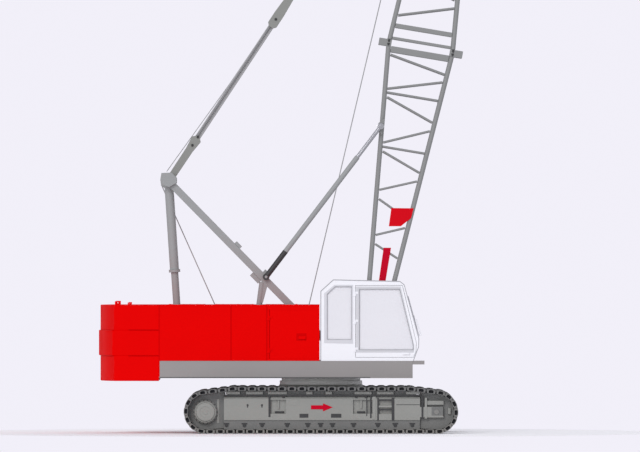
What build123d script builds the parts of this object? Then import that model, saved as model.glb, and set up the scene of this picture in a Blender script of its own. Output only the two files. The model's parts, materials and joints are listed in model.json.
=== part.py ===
from build123d import *

import os
from math import asin, atan2, cos, degrees, hypot, pi, radians, sin

# A crawler crane with a two-section lattice boom, at full size in millimetres. It faces +X
# and its right side, with the cab, is at -Y. Every size below is measured from the slewing
# axis (x, y = 0) and the ground (z = 0); the finished crane is then moved along X so that
# the middle of its outer box stands over the origin.

CLEAR = 5.0          # between pieces that move past each other
SEAT = 0.3           # between a piece and what carries it
FIT = 0.5            # round a pin or shaft in its hole

# Rounds have flat sides: their corners lie on the radius, and a hole's flats do
SIDES = 12
THIN_SIDES = 8       # lacing, rope, block axles and hinge barrels
WHEEL_SIDES = 20     # wheels, drums and the pins that turn in a hole
RING_SIDES = 48

# Tracks
TRACK_GAUGE = 3540.0
SHOE_WIDTH = 760.0
SHOE_COUNT = 60
SHOE_GAP = 26.0
SHOE_DEPTH = 42.0
BELT_DEPTH = 100.0
WHEEL_BASE = 4966.0
END_RADIUS = 465.0   # to the outside of the shoes
TRACK_HEIGHT = 1010.0
TOP_RUN = 3800.0     # level stretch over the carrier rollers

# Sprockets, idlers and rollers
SPROCKET_TEETH = 13
SPROCKET_TIP = 346.0
SPROCKET_ROOT = 300.0
SPROCKET_WIDTH = 260.0
HUB_RADIUS = 235.0
HUB_CAP_RADIUS = 195.0
HUB_REACH = 300.0    # past the track's middle line
HUB_STEP = 40.0
IDLER_RADIUS = 350.0
IDLER_WIDTH = 300.0
AXLE_RADIUS = 60.0
ROLLER_COUNT = 9
ROLLER_PITCH = 440.0
ROLLER_RADIUS = 140.0
ROLLER_WIDTH = 400.0
CARRIER_RADIUS = 60.0
CARRIER_XS = (-1500.0, 0.0, 1500.0)

# Track frames
FRAME_WIDTH = 500.0
FRAME_REAR = -2085.0
FRAME_FRONT = 2128.0
FRAME_TOP = 789.0
FRAME_SKIRT = 290.0
FRAME_BELLY = 400.0
SKIRT_PLATE = 32.0
POCKET_DEPTH = 60.0
POCKET_XS = ((-1129.0, -752.0), (688.0, 1107.0))
POCKET_HIGH = 770.0
STEP_XS = (1225.0, 1570.0)
STEP_BAR = 40.0
ARM_PLATE = 70.0
ARM_DEPTH = 320.0

# Carbody and slewing ring
CARBODY_TOP = 1040.0
CARBODY_RADIUS = 900.0
CROSS_BEAM_X = 760.0
CROSS_BEAM_LENGTH = 420.0
CROSS_BEAM_LOW = 440.0
CROSS_BEAM_HIGH = 840.0
RING_RADIUS = 890.0
RING_BORE = 700.0
RING_TOP = 1125.0
UPPER_RING_RADIUS = 850.0

# Revolving frame
DECK_REAR = -3483.0
DECK_FRONT = 1971.0
DECK_HALF_WIDTH = 1700.0
DECK_LOW = 1190.0
DECK_TOP = 1560.0
DECK_PLATE = 25.0
SKIRT_FLANGE = 60.0
GIRDER_Y = 650.0
GIRDER_WIDTH = 130.0
GIRDER_TAIL = 420.0  # into the lower counterweight slab
RIB_XS = (-2600.0, -1500.0, 1500.0)
EAR_PLATE = 30.0
EAR_HALF_BASE = 260.0
EAR_RADIUS = 115.0

# Counterweight
TAIL_RADIUS = 4795.0
SLAB_HEIGHT = 545.0
SLAB_BOTTOM = 1128.0
SLAB_EDGE = 12.0
SLAB_COUNT = 3
SLAB_BULGE = 35.0    # of the middle slab past the others
LUG_XS = (-4386.0, -4128.0)
LUG_HALVES = (52.0, 34.0)
LUG_Y = 1100.0

# Machinery houses
HOUSE_FRONT = -32.0
HOUSE_TOP = 2763.0
HOUSE_INNER = 860.0
HOUSE_WALL = 40.0
HOUSE_SEAMS = (-1935.0, -1166.0)
HOUSE_SEAM_GAP = 0.5
DOOR_MARGIN = 55.0
DOOR_GAP = 6.0
HINGE_RADIUS = 12.0
HINGE_HEIGHT = 50.0   # of each barrel
HINGE_STRAP = 55.0
HOUSE_HINGES = (1780.0, 2480.0)
CAB_HINGES = (1800.0, 2400.0, 3000.0)

# Cab
CAB_OUTER = 1700.0
CAB_INNER = 780.0
CAB_WALL = 50.0
CAB_REAR = -12.0
CAB_TOP = 3310.0
CAB_BEAK = 2113.0    # foremost point, at knee height
GLASS = 10.0

# Gantry, in side view
HEAD = (-3290.0, 5429.0)
FRONT_LEG_FOOT = (350.0, 1720.0)
REAR_LEG_FOOT = (-3040.0, 1650.0)
LEG_Y = 700.0
LEG_DEPTH = 150.0
LEG_WIDTH = 90.0
LEG_TIES = (0.3, 0.62, 0.9)     # shares of the leg, from its foot
TIE_RADIUS = 48.0
LEG_LUGS = ((1955.0, 2115.0, 1, 65.0), (2680.0, 2930.0, -1, 95.0))  # from, to, side, height
REAR_LEG_Y = 561.0
REAR_LEG_RADIUS = 74.0
REAR_SLEEVE_RADIUS = 93.0
COLLAR_Z = 3494.0
COLLAR_RADIUS = 118.0
COLLAR_LENGTH = 60.0
HEAD_PIPE_RADIUS = 85.0
POST_FOOT_X = -1500.0
POST_TOP = (-1268.0, 3250.0)
POST_RADIUS = 62.0
DEFLECTOR_RADIUS = 175.0
DEFLECTOR_Y = 60.0

# Backstops, in side view
STOP_PIVOT = (-1183.0, 3365.0)
STOP_EYE = (1290.0, 6611.0)
STOP_Y = 810.0
STOP_RADIUS = 55.0
STOP_ROD_RADIUS = 42.0
STOP_TUBE_LENGTH = 3250.0
STOP_BUFFER_LENGTH = 690.0
STOP_EYE_WIDTH = 60.0
STOP_PIN = 30.0
STOP_PIN_END = 10.0  # past the eye on either side, at the boom

# Boom
BOOM_FOOT = (1055.0, 1752.0)
BOOM_ANGLE = 80.5
BOOM_LOWEST = 30.0
BOOM_JOINT = 6640.0
CHORD_Y = 650.0
CHORD_DEPTH = 698.0  # axis of the boom to a chord, at the joint
FOOT_DEPTH = 136.0
CHORD_RADIUS = 50.0
LACING_RADIUS = 24.0
LACING_GAP = 72.0
MARKER_PLATE = 12.0
FOOT_WIDTH = 80.0
FOOT_EYE = 130.0
FOOT_PIN = 45.0
FOOT_PLATE_LENGTH = 620.0
TOP_END = 13100.0
TOP_DEPTH = 230.0
TOP_HALF_WIDTH = 330.0

# Boom head, in the boom's own frame
SHEAVE_ALONG = TOP_END + 600.0
SHEAVE_BELOW = 440.0
SHEAVE_RADIUS = 260.0
SHEAVE_WIDTH = 44.0
GROOVE = 26.0
SHEAVE_YS = (-165.0, -55.0, 55.0, 165.0)
GUIDE_ALONG = TOP_END + 410.0
GUIDE_ABOVE = 430.0
GUIDE_RADIUS = 200.0
PENDANT_ALONG = TOP_END + 450.0
PENDANT_ABOVE = 150.0
HEAD_PLATE_Y = 315.0
HEAD_PLATE = 30.0
SHEAVE_AXLE = 50.0
GUIDE_AXLE = 40.0
PENDANT_PIN = 42.0

# Stays between gantry head and boom head, as distances along their line
PENDANT_Y = 450.0
PENDANT_RADIUS = 18.0
BLOCK_SHEAVES = 930.0
BLOCK_TIP = 1145.0
BRIDLE_SHEAVES = 4190.0
BRIDLE_NEAR = BRIDLE_SHEAVES - 200.0
BRIDLE_BAR = BRIDLE_SHEAVES + 760.0
FALL_RADIUS = 14.0
FALL_OFFSET = 45.0
FALL_YS = (-255.0, -120.0, 0.0, 120.0, 255.0)
LINK_YS = (-310.0, -200.0, 200.0, 310.0)
LINK_HALF = 14.0
BLOCK_AXLE = 26.0
BLOCK_SHEAVE_WIDTH = 40.0
BRIDLE_PIN = 48.0

# Hoist rope falls and hook block
HOIST_FALL_RADIUS = 11.0
BLOCK_TOP_Z = 11900.0
BLOCK_HEIGHT = 900.0
BLOCK_HALF_DEPTH = 285.0
BLOCK_SHEAVE_Z = 11480.0
CROSS_HEAD_Z = 11150.0
HOIST_FALL_OUT = 251.5   # from the sheaves' axis to the rope's middle
CHEEK_PLATE = 40.0
HOOK_AXLE = 45.0
HOOK_SHANK = 60.0
HOOK_SEAT_RADIUS = 95.0
HOOK_THICKNESS = 110.0
HOOK_OFFSET = 14.0   # the seat's middle, up and forward of the bowl's

# Winches, each with its drum's axis in side view
DRUM_HALF = 470.0
FLANGE_RADIUS = 330.0
WOUND_RADIUS = 268.0
FLANGE = 35.0
STAND_PLATE = 40.0
SHAFT_RADIUS = 50.0
DRUMS = {
    "main_drum": (-695.0, 2071.0),
    "aux_drum": (-1462.0, 2020.0),
    "luffing_drum": (-2229.0, 1968.0),
}


# Basic shapes
def bar(start, end, radius, bore=0.0, sides=SIDES):
    """A round bar between two points, or a tube if it has a bore."""
    line = Vector(*end) - Vector(*start)
    across = Vector(1, 0, 0) if abs(line.Y) > 0.99 * line.length else Vector(0, 1, 0)
    plane = Plane(origin=start, x_dir=across - line * (across.dot(line) / line.length ** 2), z_dir=line)
    section = RegularPolygon(radius, sides)
    if bore:
        section -= RegularPolygon(bore, sides, major_radius=False, rotation=180 / sides)
    return plane * extrude(section, amount=line.length)


def block(low, high):
    """A box between its lowest and its highest corner."""
    size = [h - l for l, h in zip(low, high)]
    return Pos(*low) * Box(*size, align=(Align.MIN, Align.MIN, Align.MIN))


def plate(outline, low_y, high_y):
    """A plate with an outline of (x, z) points that reaches from low_y to high_y."""
    face = make_face(Polyline(*[(x, 0, z) for x, z in outline], close=True))
    return Pos(0, low_y, 0) * extrude(face, amount=high_y - low_y, dir=(0, 1, 0))


def disc(centre, low_y, high_y, radius, bore=0.0, sides=SIDES):
    """A disc or ring across the crane, round an (x, z) centre."""
    x, z = centre
    return bar((x, low_y, z), (x, high_y, z), radius, bore, sides)


def hole(centre, low_y, high_y, radius, sides=SIDES):
    """The room of a round hole across the crane, with a fit round its pin."""
    x, z = centre
    section = RegularPolygon(radius + FIT, sides, major_radius=False, rotation=180 / sides)
    return Plane(origin=(x, low_y, z), x_dir=(1, 0, 0), z_dir=(0, 1, 0)) * extrude(section, amount=high_y - low_y)


def arc(centre, radius, first, last, steps):
    """Points along an arc from one angle to another, in degrees, at even steps."""
    turns = [radians(first + (last - first) * i / steps) for i in range(steps + 1)]
    return [(centre[0] + radius * cos(t), centre[1] + radius * sin(t)) for t in turns]


def both(shape):
    """A right-hand piece and its left-hand twin."""
    return [shape, mirror(shape, about=Plane.XZ)]


def in_line(start, end):
    """The frame of a line in side view: its x runs along the line, its z to the upper side."""
    line = Vector(end[0] - start[0], 0, end[1] - start[1])
    return Plane(origin=(start[0], 0, start[1]), x_dir=line, z_dir=line.cross(Vector(0, 1, 0)))


def spin(rim, centre=(0.0, 0.0), sides=WHEEL_SIDES):
    """Turns (radius, y) points round an axis across the crane, ends closed flat."""
    turns = [2 * pi * i / sides for i in range(sides)]
    rings = [[(centre[0] + r * cos(t), y, centre[1] + r * sin(t)) for t in turns] for r, y in rim]
    faces = [Face(Wire.make_polygon(ring)) for ring in (rings[0], rings[-1])]
    for near, far in zip(rings, rings[1:]):
        for i in range(sides):
            j = (i + 1) % sides
            faces.append(Face(Wire.make_polygon([near[i], near[j], far[j], far[i]])))
    return Solid(Shell(faces)).clean()


# Undercarriage
def track_line():
    """The outside of the track in side view, and the plane frame that its points use."""
    half, flat = WHEEL_BASE / 2, TOP_RUN / 2
    to_wheel = hypot(half - flat, TRACK_HEIGHT - END_RADIUS)
    fall = atan2(TRACK_HEIGHT - END_RADIUS, half - flat) - asin(END_RADIUS / to_wheel)
    touch = (half + END_RADIUS * sin(fall), END_RADIUS * (1 + cos(fall)))
    return Wire([
        Line((-half, 0), (half, 0)),
        ThreePointArc((half, 0), (half + END_RADIUS, END_RADIUS), touch),
        Line(touch, (flat, TRACK_HEIGHT)),
        Line((flat, TRACK_HEIGHT), (-flat, TRACK_HEIGHT)),
        Line((-flat, TRACK_HEIGHT), (-touch[0], touch[1])),
        ThreePointArc((-touch[0], touch[1]), (-half - END_RADIUS, END_RADIUS), (-half, 0)),
    ])


def along_track(line, distance, depth):
    """The (x, z) point at a distance round the track and a depth inside its outer line."""
    share = (distance / line.length) % 1.0
    at, run = line.position_at(share), line.tangent_at(share)
    return (at.X - depth * run.Y, at.Y + depth * run.X)


def track():
    """One endless track: flat shoes with open gaps between them, on a plain belt of links."""
    line = track_line()
    pitch = line.length / SHOE_COUNT
    half_shoe = (pitch - SHOE_GAP) / 2
    outside, inside = [], []
    for shoe in range(SHOE_COUNT):
        middle = (shoe + 0.5) * pitch
        for shift, depth in ((-half_shoe, SHOE_DEPTH), (-half_shoe, 0), (half_shoe, 0), (half_shoe, SHOE_DEPTH)):
            outside.append(along_track(line, middle + shift, depth))
        inside.append(along_track(line, middle, BELT_DEPTH))
    low, high = -SHOE_WIDTH / 2, SHOE_WIDTH / 2
    return plate(outside, low, high) - plate(inside, low - 1, high + 1)


def sprocket():
    """The drive sprocket with the hub of its final drive, seen on the outer side."""
    teeth = []
    for tooth in range(SPROCKET_TEETH):
        for turn, radius in ((-0.38, SPROCKET_ROOT), (-0.2, SPROCKET_TIP), (0.2, SPROCKET_TIP), (0.38, SPROCKET_ROOT)):
            angle = 2 * pi * (tooth + turn) / SPROCKET_TEETH
            teeth.append((radius * cos(angle), radius * sin(angle)))
    half = SPROCKET_WIDTH / 2
    shape = plate(teeth, -half, half)
    shape += disc((0, 0), half - 1, HUB_REACH - HUB_STEP, HUB_RADIUS, sides=WHEEL_SIDES)
    shape += disc((0, 0), HUB_REACH - HUB_STEP - 1, HUB_REACH, HUB_CAP_RADIUS, sides=WHEEL_SIDES)
    shape += disc((0, 0), -FRAME_WIDTH / 2 + ARM_PLATE + SEAT, -half + 1, HUB_CAP_RADIUS, sides=WHEEL_SIDES)
    return Pos(-WHEEL_BASE / 2, 0, END_RADIUS) * shape


def idler():
    """The front idler on its axle: a hub, a dished web and a broad rim."""
    half, rim, web = IDLER_WIDTH / 2, IDLER_RADIUS, IDLER_WIDTH / 5
    profile = [(110, -half), (130, -web), (rim - 70, -web), (rim - 60, -half), (rim, -half)]
    profile += [(r, -y) for r, y in reversed(profile)]
    reach = FRAME_WIDTH / 2 + 20
    shape = spin(profile) + disc((0, 0), -reach, reach, AXLE_RADIUS)
    return Pos(WHEEL_BASE / 2, 0, END_RADIUS) * shape


def roller(radius, width):
    """A track roller with bevelled ends."""
    half, bevel = width / 2, 18.0
    return spin([(radius - bevel, -half), (radius, bevel - half), (radius, half - bevel), (radius - bevel, half)], sides=SIDES)


def bottom_rollers():
    first = -ROLLER_PITCH * (ROLLER_COUNT - 1) / 2
    height = BELT_DEPTH + SEAT + ROLLER_RADIUS
    shape = roller(ROLLER_RADIUS, ROLLER_WIDTH)
    return [Pos(first + i * ROLLER_PITCH, 0, height) * shape for i in range(ROLLER_COUNT)]


def carrier_rollers():
    height = FRAME_TOP + SEAT + CARRIER_RADIUS
    half = ROLLER_WIDTH / 4
    return [disc((x, height), -half, half, CARRIER_RADIUS, sides=THIN_SIDES) for x in CARRIER_XS]


def track_frame(outward):
    """A track frame: a channel on its skirts, pockets and a step in its outer side, and end arms."""
    half = FRAME_WIDTH / 2
    section = [(-half, FRAME_SKIRT), (-half, FRAME_TOP - 40), (40 - half, FRAME_TOP), (half - 40, FRAME_TOP),
               (half, FRAME_TOP - 40), (half, FRAME_SKIRT), (half - SKIRT_PLATE, FRAME_SKIRT),
               (half - SKIRT_PLATE, FRAME_BELLY), (SKIRT_PLATE - half, FRAME_BELLY), (SKIRT_PLATE - half, FRAME_SKIRT)]
    face = make_face(Polyline(*[(FRAME_REAR, y, z) for y, z in section], close=True))
    shape = extrude(face, amount=FRAME_FRONT - FRAME_REAR, dir=(1, 0, 0))
    skin = half - POCKET_DEPTH if outward > 0 else -half
    edge = half + 1 if outward > 0 else POCKET_DEPTH - half
    for low_x, high_x in POCKET_XS:
        shape -= block((low_x, min(skin, edge), FRAME_BELLY + 30), (high_x, max(skin, edge), POCKET_HIGH - 40))
    low_x, high_x = STEP_XS
    middle = (FRAME_BELLY + POCKET_HIGH) / 2
    for low_z, high_z in ((FRAME_BELLY + 20, middle - STEP_BAR / 2), (middle + STEP_BAR / 2, POCKET_HIGH - 40)):
        shape -= block((low_x, min(skin, edge), low_z), (high_x, max(skin, edge), high_z))
    low_z, high_z = END_RADIUS - ARM_DEPTH / 2, END_RADIUS + ARM_DEPTH / 2
    inner = -half if outward > 0 else half - ARM_PLATE
    reach = WHEEL_BASE / 2 + HUB_RADIUS
    shape += block((-reach, inner, low_z), (FRAME_REAR + 1, inner + ARM_PLATE, high_z))
    axle = hole((WHEEL_BASE / 2, END_RADIUS), -half - 1, half + 1, AXLE_RADIUS)
    for low_y in (-half, half - ARM_PLATE):
        shape += block((FRAME_FRONT - 1, low_y, low_z + 50), (WHEEL_BASE / 2 + 140, low_y + ARM_PLATE, high_z - 50)) - axle
    return shape


def travel_motor(outward):
    """The hydraulic travel motor on the inner side of the rear arm, stepped down in three."""
    face = FRAME_WIDTH / 2
    rim = []
    for start, end, radius in ((0, 60, 190), (60, 150, 150), (150, 270, 110)):
        rim += [(radius, -outward * (face + start)), (radius, -outward * (face + end))]
    return spin(rim, (-WHEEL_BASE / 2, END_RADIUS), SIDES)


def carbody():
    """The centre of the undercarriage: a drum under the slewing ring on two cross beams."""
    reach = TRACK_GAUGE / 2 - FRAME_WIDTH / 2
    shape = bar((0, 0, CROSS_BEAM_LOW + 60), (0, 0, CARBODY_TOP), CARBODY_RADIUS, sides=RING_SIDES)
    for x in (-CROSS_BEAM_X, CROSS_BEAM_X):
        half = CROSS_BEAM_LENGTH / 2
        section = [(x - half, CROSS_BEAM_LOW), (x + half, CROSS_BEAM_LOW), (x + half, CROSS_BEAM_HIGH - 60),
                   (x + half - 60, CROSS_BEAM_HIGH), (x - half + 60, CROSS_BEAM_HIGH), (x - half, CROSS_BEAM_HIGH - 60)]
        shape += plate(section, -reach, reach)
    return shape - bar((0, 0, CROSS_BEAM_LOW), (0, 0, CARBODY_TOP + 1), RING_BORE - 60, sides=RING_SIDES)


# Revolving upper works
def ear(pivot, base_z, half_base, round_radius, low_y, high_y, pin_radius):
    """A lug plate that stands on a deck and holds a pin at its round top."""
    x, z = pivot
    lean = asin(min(0.99, round_radius / hypot(half_base, z - base_z)))
    side = atan2(z - base_z, half_base) + lean
    first = degrees(pi / 2 - side)
    outline = [(x - half_base, base_z), (x + half_base, base_z)] + arc(pivot, round_radius, first, 180 - first, 8)
    return plate(outline, low_y, high_y) - hole(pivot, low_y - 1, high_y + 1, pin_radius)


def revolving_frame():
    """The frame's backbone: two girders under a deck plate, with cross ribs and the boom's ears."""
    wide, low_plate = GIRDER_Y + GIRDER_WIDTH / 2, DECK_TOP - DECK_PLATE
    shape = block((DECK_REAR, -wide, low_plate), (DECK_FRONT, wide, DECK_TOP))
    for side in (-1, 1):
        y = sorted((side * wide, side * (wide - GIRDER_WIDTH)))
        shape += block((DECK_REAR - GIRDER_TAIL, y[0], DECK_LOW), (DECK_FRONT, y[1], DECK_TOP))
    for x in (*RIB_XS, DECK_FRONT - DECK_PLATE):
        shape += block((x, -wide, DECK_LOW + DECK_PLATE), (x + DECK_PLATE, wide, DECK_TOP))
    shape += block((-RING_RADIUS, -wide, DECK_LOW), (RING_RADIUS, wide, DECK_LOW + 2 * DECK_PLATE))
    foot = FOOT_WIDTH / 2 + CLEAR
    for side in (-1, 1):
        for low in (CHORD_Y - foot - EAR_PLATE, CHORD_Y + foot):
            y = sorted((side * low, side * (low + EAR_PLATE)))
            if low > CHORD_Y:
                shape += block((BOOM_FOOT[0] - EAR_HALF_BASE, y[0], DECK_LOW), (BOOM_FOOT[0] + EAR_HALF_BASE, y[1], DECK_TOP))
            shape += ear(BOOM_FOOT, DECK_TOP - 1, EAR_HALF_BASE, EAR_RADIUS, *y, FOOT_PIN)
    return shape


def side_deck():
    """The right side deck: a plate with a flanged skirt on ribs, beside the backbone."""
    near, wide = GIRDER_Y + GIRDER_WIDTH / 2 + SEAT, DECK_HALF_WIDTH
    shape = block((DECK_REAR, -wide, DECK_TOP - DECK_PLATE), (DECK_FRONT, -near, DECK_TOP))
    shape += block((DECK_REAR, -wide, DECK_LOW), (DECK_FRONT, DECK_PLATE - wide, DECK_TOP))
    shape += block((DECK_REAR, -wide, DECK_LOW), (DECK_FRONT, SKIRT_FLANGE - wide, DECK_LOW + DECK_PLATE))
    for x in (DECK_REAR, *RIB_XS, DECK_FRONT - DECK_PLATE):
        shape += block((x, -wide, DECK_LOW + DECK_PLATE), (x + DECK_PLATE, -near, DECK_TOP))
    outer_ear = CHORD_Y + FOOT_WIDTH / 2 + CLEAR + EAR_PLATE + SEAT
    room = (BOOM_FOOT[0] - EAR_HALF_BASE - SEAT, -outer_ear, DECK_LOW - 1)
    return shape - block(room, (BOOM_FOOT[0] + EAR_HALF_BASE + SEAT, 0, DECK_TOP + 1))


def boom_foot_pins():
    reach = FOOT_WIDTH / 2 + CLEAR + EAR_PLATE + 15
    pin = disc(BOOM_FOOT, -CHORD_Y - reach, -CHORD_Y + reach, FOOT_PIN, sides=WHEEL_SIDES)
    return both(pin)


def slab(level):
    """One counterweight slab, round at the tail; the lowest has pockets for the girder tails."""
    radius = TAIL_RADIUS - (0 if level == 1 else SLAB_BULGE)
    wide, bottom = DECK_HALF_WIDTH, SLAB_BOTTOM + level * SLAB_HEIGHT
    corner = -(radius ** 2 - wide ** 2) ** 0.5
    edge = Wire([
        Line((DECK_REAR, -wide, bottom), (DECK_REAR, wide, bottom)),
        Line((DECK_REAR, wide, bottom), (corner, wide, bottom)),
        ThreePointArc((corner, wide, bottom), (-radius, 0, bottom), (corner, -wide, bottom)),
        Line((corner, -wide, bottom), (DECK_REAR, -wide, bottom)),
    ])
    shape = extrude(make_face(edge), amount=SLAB_HEIGHT, dir=(0, 0, 1))
    shape = chamfer(shape.faces().filter_by(Axis.Z).edges(), SLAB_EDGE)
    if level == 0:
        for side in (-1, 1):
            y = [side * GIRDER_Y - GIRDER_WIDTH / 2 - CLEAR, side * GIRDER_Y + GIRDER_WIDTH / 2 + CLEAR]
            shape -= block((DECK_REAR - GIRDER_TAIL - CLEAR, y[0], DECK_LOW - CLEAR), (DECK_REAR + 1, y[1], DECK_TOP + SEAT))
    return shape


def counterweight_lugs():
    """Lifting lugs on the top slab, each with its eye: a wide one and a narrow one on each side."""
    top = SLAB_BOTTOM + SLAB_COUNT * SLAB_HEIGHT
    lugs = []
    for x, half in zip(LUG_XS, LUG_HALVES):
        for y in (-LUG_Y, LUG_Y):
            lug = block((x - half, y - 25, top), (x + half, y + 25, top + 1.5 * half))
            lugs.append(lug - hole((x, top + 0.8 * half), y - 26, y + 26, 0.4 * half))
    return lugs


def hinge_leaf(x, y, low, strap):
    """One barrel of an upright hinge outside a wall at -y, with its strap along the wall."""
    edge = sorted((x, x + strap))
    barrel = bar((x, y, low), (x, y, low + HINGE_HEIGHT), HINGE_RADIUS, sides=THIN_SIDES)
    return barrel + block((edge[0], y, low), (edge[1], y + HINGE_RADIUS, low + HINGE_HEIGHT))


def hinge_line(wall_y):
    """The y of the hinge pins outside a wall."""
    return wall_y - HINGE_RADIUS - SEAT


def with_hinges(door, x, wall_y, lows):
    """A door with its hinge barrels joined on, just above those of its frame."""
    for low in lows:
        door += hinge_leaf(x, hinge_line(wall_y), low, HINGE_STRAP)
        door += block((x + DOOR_GAP, hinge_line(wall_y), low), (x + HINGE_STRAP, wall_y + 1, low + HINGE_HEIGHT))
    return door


def frame_hinges(x, wall_y, lows):
    return [hinge_leaf(x, hinge_line(wall_y), low - HINGE_HEIGHT - SEAT, -HINGE_STRAP) for low in lows]


def house():
    """The right machinery house as flat panels, with a doorway at the front of its outer side."""
    outer, inner, wall, gap = DECK_HALF_WIDTH, HOUSE_INNER, HOUSE_WALL, HOUSE_SEAM_GAP
    low, high = DECK_TOP, HOUSE_TOP
    eaves = high - wall - gap
    panels = [block((DECK_REAR, -outer, high - wall), (HOUSE_FRONT, -inner, high)),
              block((DECK_REAR, -inner - wall, low), (HOUSE_FRONT, -inner, eaves)),
              block((DECK_REAR, -outer, low), (HOUSE_SEAMS[0] - gap, wall - outer, eaves)),
              block((HOUSE_SEAMS[0], -outer, low), (HOUSE_SEAMS[1] - gap, wall - outer, eaves))]
    for x in (DECK_REAR, HOUSE_FRONT - wall):
        panels.append(block((x, wall + gap - outer, low), (x + wall, -inner - wall - gap, eaves)))
    left, right = doorway()
    sill, lintel = low + DOOR_MARGIN, eaves - DOOR_MARGIN
    panels += [block((HOUSE_SEAMS[1], -outer, low), (HOUSE_FRONT, wall - outer, sill)),
               block((HOUSE_SEAMS[1], -outer, lintel), (HOUSE_FRONT, wall - outer, eaves)),
               block((HOUSE_SEAMS[1], -outer, sill + gap), (left, wall - outer, lintel - gap)),
               block((right, -outer, sill + gap), (HOUSE_FRONT, wall - outer, lintel - gap))]
    return panels + frame_hinges(left + DOOR_GAP / 2, -outer, HOUSE_HINGES)


def doorway():
    """The rear and front edge of the doorway in the house's outer side."""
    return HOUSE_SEAMS[1] + DOOR_MARGIN, HOUSE_FRONT - DOOR_MARGIN


def house_door():
    """The door of the right house, with its pull handle."""
    left, right = doorway()
    outer = DECK_HALF_WIDTH
    sill, lintel = DECK_TOP + DOOR_MARGIN, HOUSE_TOP - HOUSE_WALL - HOUSE_SEAM_GAP - DOOR_MARGIN
    shape = block((left + DOOR_GAP, -outer, sill + DOOR_GAP), (right - DOOR_GAP, HOUSE_WALL - outer, lintel - DOOR_GAP))
    shape += block((-480, -outer - 28, 2030), (-330, -outer + 1, 2090))
    return with_hinges(shape, left + DOOR_GAP / 2, -outer, HOUSE_HINGES)


def cab_outline(inset):
    """The cab in side view, drawn in by an inset from its skin."""
    low = DECK_TOP + inset
    return [(CAB_REAR + inset, low), (CAB_BEAK - 123 - inset, low), (CAB_BEAK - 6 - inset, 1860),
            (CAB_BEAK - inset, 2040), (CAB_BEAK - 318 - inset * 1.05, 3205), (CAB_BEAK - 413 - inset, CAB_TOP - 35 - inset),
            (260 + inset / 2, CAB_TOP - inset),
            (CAB_REAR + inset, 3064 - inset / 2)]


REAR_PANE = [(125, 2015), (662, 2015), (662, 3165), (300, 3165), (125, 3000)]
DOOR_EDGE = [(745, 1640), (CAB_BEAK - 128, 1640), (CAB_BEAK - 73, 1770), (CAB_BEAK - 67, 1960),
             (CAB_BEAK - 365, 3180), (745, 3180)]
DOOR_PANE = [(815, 1795), (CAB_BEAK - 123, 1795), (CAB_BEAK - 121, 1900), (CAB_BEAK - 416, 3110), (815, 3110)]
INNER_PANE = [(150, 2100), (CAB_BEAK - 243, 2100), (CAB_BEAK - 473, 3110), (300, 3110), (150, 2980)]
SCREEN_LOW, SCREEN_HIGH = 2060.0, 3130.0
ROOF_FRONT = CAB_BEAK - 463.0
SCREEN_MARGIN = 70.0
REAR_WINDOW = (2300.0, 2990.0)


def grown(outline, by):
    """An outline moved out from its middle by about the given amount, corner by corner."""
    middle_x = sum(x for x, _ in outline) / len(outline)
    middle_z = sum(z for _, z in outline) / len(outline)
    return [(x + (by if x > middle_x else -by), z + (by if z > middle_z else -by)) for x, z in outline]


def front_slab(inset, thickness):
    """The sloping slab that the windscreen lies in, at an inset from the cab's nose."""
    outside, inside = cab_outline(inset), cab_outline(inset + thickness)
    return [outside[3], outside[4], inside[4], inside[3]]


def cab_shell():
    """The cab's panels: both sides with doorway and panes, and the floor, back, roof and nose between them."""
    low_y, high_y, gap = -CAB_OUTER, -CAB_INNER, HOUSE_SEAM_GAP
    right = plate(cab_outline(0), low_y, low_y + CAB_WALL) - plate(REAR_PANE, low_y - 1, low_y + CAB_WALL + 1)
    right -= plate(grown(DOOR_EDGE, DOOR_GAP), low_y - 1, low_y + CAB_WALL + CLEAR)
    left = plate(cab_outline(0), high_y - CAB_WALL, high_y) - plate(INNER_PANE, high_y - CAB_WALL - 1, high_y + 1)
    low_y, high_y = low_y + CAB_WALL + gap, high_y - CAB_WALL - gap
    band = plate(cab_outline(0), low_y, high_y) - plate(cab_outline(CAB_WALL), low_y - 1, high_y + 1)
    back_x, front_x, far = CAB_REAR + CAB_WALL, CAB_BEAK, 500.0
    floor_z, eaves = DECK_TOP + CAB_WALL, REAR_WINDOW[1] + 40
    screen = block((ROOF_FRONT + 2, -CAB_OUTER + SCREEN_MARGIN, SCREEN_LOW), (front_x + far, -CAB_INNER - SCREEN_MARGIN, SCREEN_HIGH))
    rear_pane = block((CAB_REAR - 1, -CAB_OUTER + 2 * SCREEN_MARGIN, REAR_WINDOW[0]),
                      (back_x + 1, -CAB_INNER - 2 * SCREEN_MARGIN, REAR_WINDOW[1]))
    panels = [block((CAB_REAR - far, low_y, floor_z - far), (front_x + far, high_y, floor_z)),
              block((CAB_REAR - far, low_y, floor_z + gap), (back_x, high_y, eaves)) - rear_pane,
              block((CAB_REAR - far, low_y, eaves + gap), (ROOF_FRONT, high_y, CAB_TOP + far)),
              block((ROOF_FRONT + gap, low_y, floor_z + gap), (front_x + far, high_y, CAB_TOP + far)) - screen]
    return [right, left] + [band & room for room in panels]


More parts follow.
